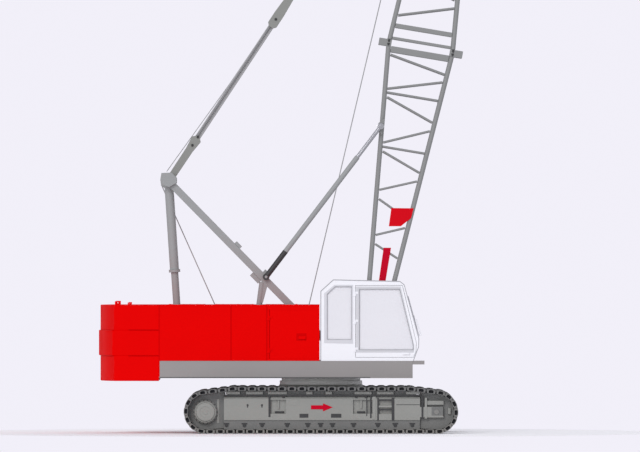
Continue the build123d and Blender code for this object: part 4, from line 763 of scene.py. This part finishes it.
def guides(bm, side):
    """The strips that close the loop above and below the frame and behind the wheels."""
    upper = inside_line(ROUND_FRONT + 20, ROUND_BACK - 20, 12) + [(-2080, 770), (2120, 770)]
    lower = [(-2084, 92), (2124, 92), (2124, 300), (-2084, 300)]
    back = inside_line(ROUND_BACK + 10, PITCH * SHOE_COUNT - 10, 24) + [(-2080, 112), (-2080, 880)]
    front = [(2124, 880), (2124, 112)] + inside_line(LOWER + 10, ROUND_FRONT - 10, 24)
    sheets = ((upper, 150, 186, 3), (lower, 204, 226, 4), (back, 128, 146, 3), (front, 152, 168, 3))
    for outline, low, high, edge in sheets:
        sheet_of(bm, outline, side * (TRACK_Y + low), side * (TRACK_Y + high), edge)
    plates(bm, side, [(431.5, 415.4, 442.9, 406.6, 100, 3, 2)])


# each row is two pixels, then what `plates` asks for
PADS = [(x0, 391.4, x1, 394.2, 60, 4, 3) for x0, x1 in (
    (226, 240), (246, 263), (268, 287), (306, 312.5), (325.5, 332), (354.5, 371.5), (377, 393.5), (406, 420))]
PADS += [
    (278, 399, 279.2, 408.6, 62, -22, 2), (360.3, 399, 361.8, 408.4, 62, -22, 2),
    (372.3, 396.5, 375.8, 419, 5, 9, 3), (424.6, 397.5, 427, 418.5, 120, 6, 3),
    (427, 400.6, 443.5, 404.6, 100, -14, 3), (423.2, 415.8, 443.5, 417.6, 100, -14, 3),
    (448, 408, 450.6, 414, 96, -30, 3), (217, 399, 219.4, 423, 104, -92, 2),
    (289, 405, 299, 399.6, 5, 5, 2), (341.4, 404.8, 351.8, 399.4, 5, 5, 2)]
# painted shade: dark slabs in the slots and notches, and thin ones in the strips between the plates
SHADE_MARKS = [(x - 1.3, y + 1.2, x + 1.3, y - 1.2, 58, -10, 5)
         for x, y in ((283.8, 397.8), (356.2, 397.8), (366, 397.4))]
SHADE_MARKS += [(x0, 413.1, x1, 411.1, 62, -30, 6) for x0, x1 in ((274.8, 284), (357, 365))]
SHADE_MARKS += [(x0, y0, x1, y1, 5, proud, 1) for x0, x1, y0, y1, proud in (
    (268.5, 270.6, 417, 396.2, 1), (366.2, 367.2, 416, 396.2, 1), (370, 371.6, 418, 396, 1),
    (377.2, 378.8, 420.4, 397.5, 2), (391.6, 394.4, 420.4, 397.5, 2), (378.8, 391.6, 400.6, 399, 2),
    (378.8, 391.6, 410.4, 408.8, 2), (421.4, 423.4, 418.6, 396.4, 2), (396.4, 421, 404.9, 404.3, 2),
    (299.5, 308.4, 417.6, 413.6, 1), (331, 341.4, 417.6, 413.6, 1), (224.6, 420.5, 396, 394.4, 3))]
LATCHES = [(247.6, 405), (262, 405)]
ROLLER_PINS = (226.6, 244.5, 262.2, 287.3, 307.8, 320.6, 332.5, 353.5, 377.8, 395.2, 412.2)


def latch_and_shade_slabs(bm, side):
    """Latches, and dark slabs of painted shade in the slots and in the strips between the plates."""
    for x, z in (px(*spot) for spot in LATCHES):
        stud(bm, (x, z), side * (FACE_Y - 6), side * (FACE_Y + 12), 22, edge=3, segments=12)
        slab(bm, (x - 12, side * (FACE_Y - 4), z - 52), (x + 12, side * (FACE_Y + 5), z), edge=3)
    plates(bm, side, SHADE_MARKS)


def guard_pins(bm, side):
    """The round ends of the roller axles, seen below the frame."""
    for x, z in (px(spot, 425.2) for spot in ROLLER_PINS):
        stud(bm, (x, z), side * 1990, side * 2008, 40, edge=5, segments=20)
        slab(bm, (x - 62, side * 1992, z + 20), (x + 62, side * 2002, z + 52), edge=4)


dress("chain_guides", both_sides(guides), "undercarriage", "frame_grey", GUARD)
dress("frame_pads", both_sides(lambda bm, side: plates(bm, side, PADS)), "undercarriage", "frame_grey", FRAME)
dress("frame_latches_and_shade_marks", both_sides(latch_and_shade_slabs), "undercarriage", "dark_steel", DARK)
dress("roller_axle_ends", both_sides(guard_pins), "undercarriage", "dark_steel", DARK)

# %% [markdown]
# A red arrow on each side frame points to the front, so that whoever walks beside the
# tracks knows which way they will run. It is a thin plate with its point cut to shape.

# %% Direction arrows
bm = bmesh.new()
ARROW = [(311, 405.2), (323, 405.2), (323, 403.2), (332.8, 407.2), (323, 411.2), (323, 409.2), (311, 409.2)]
for low_y, high_y in ((-2027, -2018), (2018, 2027)):
    sheet_of(bm, [px(*point) for point in ARROW], low_y, high_y, edge=1.5)
dress("direction_arrows", bm, "undercarriage", "red_paint", DEEP_RED)

# %% [markdown]
# ## Cab
# Grey rubber holds every pane: broad strips down the door's rear edge and along its sill,
# narrow ones elsewhere. A thin drip rail follows the cab's outline. Each seal is a chain
# of flat pieces between the outline of the pane and a wider one around it.

# %% Seals and drip rails
CAB_RIGHT, CAB_LEFT = -1700.0, -780.0
CAB_OUTLINE = [(-4, 1566), (-4, 3060), (264, 3303), (1698, 3268), (1788, 3200), (2104, 2040), (2099, 1864),
               (1986, 1566)]
REAR_PANE = [(125, 2015), (662, 2015), (662, 3165), (300, 3165), (125, 3000)]
REAR_SEAL = [(66, 1944), (690, 1930), (690, 3196), (288, 3196), (66, 3012)]
DOOR_PANE = [(815, 1795), (1990, 1795), (1992, 1900), (1697, 3110), (815, 3110)]
DOOR_SEAL = [(750, 1742), (1999, 1742), (2001, 1903), (1710, 3160), (750, 3160)]


def band(bm, inner, outer, low_y, high_y):
    """A flat frame between two outlines with the same number of corners."""
    for i in range(len(inner)):
        j = (i + 1) % len(inner)
        sheet_of(bm, [inner[i], inner[j], outer[j], outer[i]], low_y, high_y, edge=0)


def along(bm, points, y, radius, closed=False):
    """A thin bead that runs from point to point at one distance across the crane."""
    for (x0, z0), (x1, z1) in zip(points, points[1:] + (points[:1] if closed else [])):
        rod(bm, (x0, y, z0), (x1, y, z1), radius, edge=0, segments=8)


for name, body, inner, outer, material in (("rear_pane_seal", "upper", REAR_PANE, REAR_SEAL, PALE_SEAL),
                                           ("door_seal", "cab_door", DOOR_PANE, DOOR_SEAL, SEAL)):
    bm = bmesh.new()
    band(bm, inner, outer, CAB_RIGHT - 4, CAB_RIGHT + 4)
    dress(name, bm, body, "seat_trim", material)
bm = bmesh.new()
along(bm, [(822, 1800), (822, 3104), (1690, 3104), (1984, 1902), (1982, 1800)], CAB_RIGHT - 3, 8, closed=True)
dress("door_pane_bead", bm, "cab_door", "seat_trim", LINE)
bm = bmesh.new()
along(bm, [(132, 2022), (655, 2022), (655, 3158), (303, 3158), (132, 2997)], CAB_RIGHT - 3, 6, closed=True)
for y in (CAB_RIGHT - 2, CAB_LEFT + 2):
    along(bm, CAB_OUTLINE, y, 8)
for spot in ((264, 3306), (1698, 3271)):
    stud(bm, spot, CAB_RIGHT + 12, CAB_LEFT - 12, 6, segments=8)
dress("cab_drip_rails", bm, "upper", "seat_trim", LINE)

# %% [markdown]
# The front of the cab isn't in the picture. It gets what every operator needs: a wiper
# before the windscreen, a grab rail beside it, and inside the glass a padded seat and
# two control levers on their boxes.

# %% Wiper, levers and seat
screen_low, screen_high = Vector((2113, 2040)), Vector((1795, 3205))


def on_screen(share, proud):
    """A point on the sloping windscreen, a share of the way up and proud of its surface."""
    up = (screen_high - screen_low).normalized()
    spot = screen_low.lerp(screen_high, share) + Vector((up.y, -up.x)) * proud
    return spot.x, spot.y


bm = bmesh.new()
(x0, z0), (x1, z1), (x2, z2) = on_screen(0.05, 10), on_screen(0.42, 20), on_screen(0.78, 10)
rod(bm, (x0, -1180, z0), (x1, -1300, z1), 7, edge=1, segments=8)
rod(bm, (x0 - 20, -1180, z0), (x0 + 6, -1180, z0), 22, edge=2, segments=16)
x3, z3 = on_screen(0.16, 8)
rod(bm, (x3, -1300, z3), (x2, -1300, z2), 9, edge=1, segments=8)
dress("windscreen_wiper", bm, "upper", "seat_trim", SEAL)
bm = bmesh.new()
for y in (-1530, -950):
    rod(bm, (1110, y, 2152), (1150, y, 2390), 9, edge=1, segments=12)
    bmesh.ops.create_icosphere(bm, subdivisions=2, radius=0.026, matrix=Matrix.Translation(at(1152, y, 2400)))
    rod(bm, (1108, y, 2158), (1114, y, 2196), 30, edge=8, segments=16)
dress("control_levers", bm, "upper", "seat_trim", BLACK)


def cushion(name, low, high, slant, crown):
    """A stuffed pad: its top is crowned, its sides pull in between the corners, its foot is flat."""
    bm = bmesh.new()
    bmesh.ops.create_cube(bm, size=2.0)
    bmesh.ops.subdivide_edges(bm, edges=bm.edges, cuts=9, use_grid_fill=True)
    middle, half = (Vector(low) + Vector(high)) / 2, (Vector(high) - Vector(low)) / 2
    for v in bm.verts:
        u, w, t = v.co
        bulge = (1 - u ** 4) * (1 - w ** 4)
        pull = 1 - 0.035 * (1 - t * t) - 0.05 * (abs(u * w)) ** 3 * max(t, 0)
        seam = 0.1 * exp(-(w / 0.07) ** 2) * (1 - u ** 4)
        rise = t if t < 0.2 else t + (bulge - 1) * 0.5 * t - seam * t
        spot = Vector((u * half.x * pull, w * half.y * pull, rise * (half.z + crown / 2)))
        v.co = at(*(middle + Matrix.Rotation(radians(slant), 3, "Y") @ spot))
    piece = dress(name, bm, "upper", "seat_trim", TRIM, sharp=60.0)


cushion("seat_cushion", (410, -1450, 2004), (920, -1030, 2050), -2, 30)
cushion("back_cushion", (156, -1450, 2260), (756, -1030, 2302), 80.5, 30)

# %% [markdown]
# ## House and counterweight
# Strips of painted shade mark the joints of the house's sheet metal and the lines where the
# slabs of the counterweight meet, and each door has lips and a small latch plate in the same
# painted shade. On the left, which the picture doesn't show, louvres let the engine breathe.

# %% Seam shades, latches and louvres
HOUSE_LOW, HOUSE_HIGH, HOUSE_REAR, HOUSE_FRONT, SIDE_Y = 1560.0, 2763.0, -3483.0, -32.0, 1700.0
TAIL, SLAB_JOINTS = -4140.0, (1654.0, 2222.0)


def on_side(bm, side, low_x, high_x, low_z, high_z, inner, proud, edge=0):
    """A block on the side of the house, from a depth behind its face to a height before it."""
    slab(bm, (low_x, side * (SIDE_Y - inner), low_z), (high_x, side * (SIDE_Y + proud), high_z), edge=edge)


def shadow_strips(bm, side):
    """Painted shade: strips at the sheet metal's joints, along the house's foot, where it meets the
    counterweight and at the counterweight's joints.
    """
    for x in (-1935, -1166):
        on_side(bm, side, x - 15, x + 15, HOUSE_LOW + 8, HOUSE_HIGH - 8, 3, 2)
    on_side(bm, side, HOUSE_REAR + 3, HOUSE_FRONT - 8, HOUSE_LOW + 2, HOUSE_LOW + 16, 3, 3)
    on_side(bm, side, HOUSE_REAR - 8, HOUSE_REAR + 14, HOUSE_LOW - 340, HOUSE_HIGH - 4, 20, 2)
    for z in SLAB_JOINTS:
        on_side(bm, side, TAIL, HOUSE_REAR - 8, z, z + 18, 3, 2)


def deck_foot_shade(bm, side):
    """A strip of painted shade along the foot of the deck's side plate, under its turned-in edge."""
    on_side(bm, side, HOUSE_REAR + 12, 1060, 1191, 1214, 2, 3, edge=1)


def louvres(bm, low_x, high_x, low_z=1760, high_z=2560, count=14):
    """Slanted slats in a low frame on the left side of the house."""
    pitch = (high_z - low_z) / count
    for i in range(count):
        z = low_z + pitch * (i + 0.5)
        on_side(bm, 1, low_x + 24, high_x - 24, z - pitch * 0.3, z + pitch * 0.12, 0, 16, edge=3)
    for x0, x1, z0, z1 in ((low_x, low_x + 24, low_z, high_z), (high_x - 24, high_x, low_z, high_z),
                           (low_x, high_x, low_z - 24, low_z), (low_x, high_x, high_z, high_z + 24)):
        on_side(bm, 1, x0, x1, z0, z1, 0, 20, edge=4)


dress("house_seam_shades", both_sides(shadow_strips), "upper", "red_paint", SEAM_SHADE)
dress("deck_foot_shade_strip", both_sides(deck_foot_shade), "upper", "frame_grey", DARK_GREY)
bm = bmesh.new()
louvres(bm, -3260, -2120)
louvres(bm, -1800, -1300)
dress("engine_louvres", bm, "upper", "red_paint", RED)
for node, side in (("house_door_right", -1), ("house_door_left", 1)):
    bm = bmesh.new()
    # the latch plate is painted shade, where the door's handle is recessed
    on_side(bm, side, -530, -316, 1998, 2152, 0, 5, edge=2)
    dress(node + "_handle_recess_shade", bm, node, "red_paint", SEAM_SHADE)
    bm = bmesh.new()
    for lip in ((-1096, -80, 2650, 2676), (-1096, -80, 1606, 1632), (-106, -80, 1632, 2650)):
        on_side(bm, side, *lip, 1, 3)
    dress(node + "_lip", bm, node, "red_paint", RED)

# %% [markdown]
# ## Ropes and drums
# A winch drum is wound with rope lying turn against turn, so its profile is a row of small
# rounds between the flanges. The hoist rope climbs from the main drum to the boom's head
# inside the gantry and behind the lattice, as one straight rope on no body. The luffing
# rope stays on the machine.

# %% Wound drums
DRUM_HALF, FLANGE, WOUND = 470.0, 330.0, 268.0
DRUMS = {"main_drum": (-695.0, 2071.0), "aux_drum": (-1462.0, 2020.0), "luffing_drum": (-2229.0, 1968.0)}
TURNS = 30
inner = DRUM_HALF - 36
lay = 2 * inner / TURNS
for node, centre in DRUMS.items():
    bm = bmesh.new()
    wound = []
    for i in range(TURNS):
        for depth, share in ((11, 0), (2.5, 0.2), (0, 0.5), (2.5, 0.8)):
            wound.append((WOUND - depth, -inner + (i + share) * lay))
    turned(bm, [(100.0, -inner)] + wound + [(WOUND - 11, inner), (100.0, inner)], centre, 40)
    flange = [(60.0, inner + 1), (FLANGE - 4, inner + 1), (FLANGE, inner + 5), (FLANGE, DRUM_HALF - 4),
              (FLANGE - 4, DRUM_HALF), (130.0, DRUM_HALF), (120.0, DRUM_HALF - 8), (60.0, DRUM_HALF - 8)]
    for side in (-1, 1):
        turned(bm, facing(side, 0.0, flange), centre, 48)
    low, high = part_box(node)
    reach = (high.y - low.y) / 2 * 1000
    stud(bm, centre, -reach, reach, 49, edge=4, segments=32)
    dress(node + "_wound", bm, node, "rope_steel", ROPE, replaces=(node,))

# %% Running ropes
ROPE_RADIUS = 11.0
start, end = (-434.0, -60.0, 2010.0), (2666.0, -110.0, 15193.0)
bm = bmesh.new()
rod(bm, start, end, ROPE_RADIUS, edge=0, segments=10)
hoist_rope = dress("hoist_rope", bm, None, "rope_steel", ROPE)
at(*start)
at(*end)
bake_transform(hoist_rope)
bm = bmesh.new()
for y in (-60, 60):
    rod(bm, (-3450, y, 5359), (-1988, y, 2084), ROPE_RADIUS, edge=0, segments=10)
dress("luffing_rope", bm, "upper", "rope_steel", ROPE)

# %% [markdown]
# ## Head sheaves
# A sheave's rim is grooved to the rope's own radius, its web is thin, and its hub is wide
# enough to stand on its bearing. One profile serves the four sheaves at the boom's head.

# %% Grooved sheaves
def sheave(bm, centre, y, radius, width, bore):
    """A grooved wheel round an axle, mirrored about its own middle plane."""
    half_side = [(bore, -width / 2), (bore + 34, -width / 2), (bore + 40, -width / 2 + 6), (bore + 42, -8),
                 (radius - 46, -8), (radius - 34, -width / 2 + 3), (radius - 3, -width / 2 + 2),
                 (radius, -width / 2 + 6), (radius - 22, -7)]
    turned(bm, mirrored(half_side, y), centre, 48)


BOOM_FOOT, BOOM_ANGLE = (1055.0, 1752.0), radians(80.5)
BOOM_JOINT, BOOM_HALF = 6640.0, 700.0   # the joint's distance from the foot, half the lattice's depth


def boom_spot(along_boom, above):
    """A point of the boom's side view: a distance from its foot pin and above its middle line."""
    c, s = cos(BOOM_ANGLE), sin(BOOM_ANGLE)
    return BOOM_FOOT[0] + along_boom * c - above * s, BOOM_FOOT[1] + along_boom * s + above * c


head = boom_spot(13700, -440)
bm = bmesh.new()
for y in (-165, -55, 55, 165):
    sheave(bm, head, y, 260, 44, 51)
dress("head_sheaves_grooved", bm, "head_sheaves", "dark_steel", CAST, replaces=("head_sheaves",))

# %% [markdown]
# ## Pins
# Every joint of the boom is a pin between lugs. The heads of the pins, their keeper plates
# and the bolts that hold those are what the eye finds at close range.

# %% Pin heads and keepers
def pin_head(bm, spot, y, side, radius):
    """The head of a pin with its keeper plate and two bolts, outside a lug."""
    x, z = spot
    keeper = (x - radius * 1.1, y, z + radius * 0.62), (x + radius * 1.1, y + side * 8, z + radius * 1.3)
    stud(bm, spot, y - side * 8, y + side * 16, radius, edge=4, segments=24)
    slab(bm, *keeper, edge=2)
    for bolt in (x - 0.75 * radius, x + 0.75 * radius):
        stud(bm, (bolt, z + radius), y, y + side * 15, 8)


bm = bmesh.new()
for side in (-1, 1):
    for above in (-BOOM_HALF, BOOM_HALF):
        for step in (-38, 38):
            pin_head(bm, boom_spot(BOOM_JOINT + step, above), side * 696, side, 24)
    pin_head(bm, BOOM_FOOT, side * 700, side, 58)
dress("boom_pin_heads", bm, "boom", "dark_steel", DARK)
bm = bmesh.new()
for side in (-1, 1):
    for spot, radius in (((350, 1720), 44), ((-3040, 1650), 40)):
        pin_head(bm, spot, side * 748, side, radius)
dress("gantry_pin_heads", bm, "upper", "dark_steel", DARK)

# %% [markdown]
# ## Luffing tackle
# The solids hold ten falls of rope between the two blocks. Here eight more lie between
# those, so that the tackle reads as one grey band, and the rope that leads from the
# gantry's head to the upper block lies beside it.

# %% Inner falls
GANTRY_HEAD = (-3290.0, 5429.0)
pendant_pin = boom_spot(13550, 150)
stay = Vector((pendant_pin[0] - GANTRY_HEAD[0], pendant_pin[1] - GANTRY_HEAD[1])).normalized()


def on_stay(distance, beside, y):
    """A point on the line from the gantry's head to the boom's head, moved sideways in side view."""
    x, z = GANTRY_HEAD
    return (x + stay.x * distance - stay.y * beside, y, z + stay.y * distance + stay.x * beside)


bm = bmesh.new()
upper_rolls, lower_rolls = 945, 4175   # distances of the two blocks' rolls from the gantry's head
for y in (-185, -60, 60, 185):
    for beside in (-15, 15):
        rod(bm, on_stay(upper_rolls, beside, y), on_stay(lower_rolls, beside, y), 14, edge=0, segments=10)
dress("inner_luffing_falls", bm, "luffing_block", "rope_steel", ROPE)
bm = bmesh.new()
rod(bm, on_stay(150, 150, -60), on_stay(2500, 62, -60), 8, edge=0, segments=8)
rod(bm, on_stay(2500, 62, -60), on_stay(4170, 46, -60), 8, edge=0, segments=8)
dress("lead_rope", bm, "luffing_block", "rope_steel", ROPE)

# %% Post heads and block bolts
bm = bmesh.new()
POST_HEAD = [(261.6, 273), (265, 269.6), (268.6, 273), (267.4, 285), (262.6, 303), (258, 303), (261, 285)]
for side in (-1, 1):
    sheet_of(bm, [px(*point) for point in POST_HEAD], side * 729, side * 747, edge=2)
dress("post_head_plates", bm, "upper", "frame_grey", LEG)
for body, spots in (("luffing_block", (930, 1145)), ("bridle", (4190, 4950))):
    bm = bmesh.new()
    for spot in spots:
        for side in (-1, 1):
            inside = on_stay(spot, 0, side * 322)
            rod(bm, inside, on_stay(spot, 0, side * 346), 30, edge=3, segments=6)
            rod(bm, inside, on_stay(spot, 0, side * 356), 16, edge=2, segments=16)
    dress(body + "_bolts", bm, body, "dark_steel", DARK)

# %% [markdown]
# ## Sides that the picture doesn't show
# The roofs get hatches with rows of bolts, the tank its filler cap, steps and straps, the
# cab its grab rails, and the deck a tread surface on which to walk to the cab. All of it
# stays low, so that the side view doesn't change.

# %% Roofs, tank and cab rails
def hatch(bm, low, high, bolts):
    """A flat cover on a roof with a rim of bolts: two corners (x, y) and the roof's height."""
    (x0, y0, z), (x1, y1) = low, high
    slab(bm, (x0, y0, z - 2), (x1, y1, z + 6), edge=3)
    for i in range(bolts):
        x = x0 + 30 + (x1 - x0 - 60) * i / (bolts - 1)
        for y in (y0 + 24, y1 - 24):
            rod(bm, (x, y, z + 4), (x, y, z + 9), 9, edge=0, segments=6)


bm = bmesh.new()
for y0, y1 in ((-1560, -1000), (1000, 1560)):
    for x0, x1 in ((-3300, -2500), (-2300, -1450), (-1200, -500)):
        hatch(bm, (x0, y0, HOUSE_HIGH), (x1, y1), 6)
dress("roof_hatches", bm, "upper", "red_paint", RED)

tank_low, tank_high = (in_mm(corner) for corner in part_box("left_tank"))
(tank_rear, tank_inner, tank_foot), (tank_front, tank_outer, tank_top) = tank_low, tank_high
cap = (tank_rear + 260, tank_inner + 240)
bm = bmesh.new()
rod(bm, (*cap, tank_top - 4), (*cap, tank_top + 26), 92, edge=5, segments=32)
rod(bm, (*cap, tank_top + 20), (*cap, tank_top + 52), 70, edge=8, segments=32)
for spot in around(cap, 80, 8):
    rod(bm, (*spot, tank_top + 22), (*spot, tank_top + 32), 7, edge=0, segments=6)
dress("tank_filler", bm, "upper", "dark_steel", DARK)
bm = bmesh.new()
for x in (tank_rear + 120, tank_front - 120):
    slab(bm, (x - 22, tank_outer - 3, tank_foot + 30), (x + 22, tank_outer + 5, tank_top - 30), edge=2)
step_x = (tank_rear + tank_front) / 2
for z in (1780, 2060, 2340):
    rod(bm, (step_x - 170, tank_outer + 42, z), (step_x + 170, tank_outer + 42, z), 12, edge=1, segments=12)
    for x in (step_x - 160, step_x + 160):
        rod(bm, (x, tank_outer - 2, z), (x, tank_outer + 44, z), 10, edge=1, segments=12)
dress("tank_steps", bm, "upper", "frame_grey", DECK)

bm = bmesh.new()
for y in (-1620, -860):
    (x0, z0), (x1, z1) = on_screen(0.04, 55), on_screen(0.34, 55)
    rod(bm, (x0, y, z0), (x1, y, z1), 11, edge=1, segments=12)
    for share in (0.06, 0.32):
        (x0, z0), (x1, z1) = on_screen(share, 0), on_screen(share, 55)
        rod(bm, (x0 - 6, y, z0), (x1, y, z1), 9, edge=1, segments=12)
dress("cab_grab_rails", bm, "upper", "white_paint", WHITE)

# %% Deck tread
FOOT_Y, FOOT_ROOM, FOOT_FRONT = 650.0, 130.0, 1380.0   # the boom's feet stand on bare plate
bm = bmesh.new()
for i in range(9):
    for j in range(12):
        x, y = 1080 + i * 96, -690 + j * 118
        if x >= FOOT_FRONT or abs(abs(y) - FOOT_Y) >= FOOT_ROOM:
            slab(bm, (x, y, HOUSE_LOW - 2), (x + 60, y + 12, HOUSE_LOW + 3), edge=0)
            slab(bm, (x + 50, y + 46, HOUSE_LOW - 2), (x + 62, y + 106, HOUSE_LOW + 3), edge=0)
dress("deck_tread", bm, "upper", "frame_grey", DECK)

# %% [markdown]
# ## Hook block and hook
# Nuts close the block's axle and its tie bolts, and a sprung latch shuts the hook's mouth.

# %% Nuts and latch
hook_x, axle_z, latch_z = head[0], 11480.0, 10714.0
bm = bmesh.new()
for side in (-1, 1):
    stud(bm, (hook_x, axle_z), side * 150, side * 160, 78, edge=2, segments=32)
    stud(bm, (hook_x, axle_z), side * 160, side * 178, 46, edge=4)
    for across, z in ((-190, axle_z), (190, axle_z), (-105, 11830), (105, 11830), (-75, 11085), (75, 11085)):
        stud(bm, (hook_x + across, z), side * 150, side * 164, 22, edge=3)
dress("hook_block_nuts", bm, "hook_line", "dark_steel", DARK_GREY)
bm = bmesh.new()
for side in (-1, 1):
    slab(bm, (hook_x - 66, side * 58 - 4, 10690), (hook_x - 26, side * 58 + 4, 10740), edge=2)
stud(bm, (hook_x - 46, latch_z), -66, 66, 12, edge=2, segments=16)
rod(bm, (hook_x - 46, 0, latch_z), (hook_x - 148, 0, 10563), 13, edge=4, segments=12)
dress("hook_latch", bm, "hook", "dark_steel", CHROME)
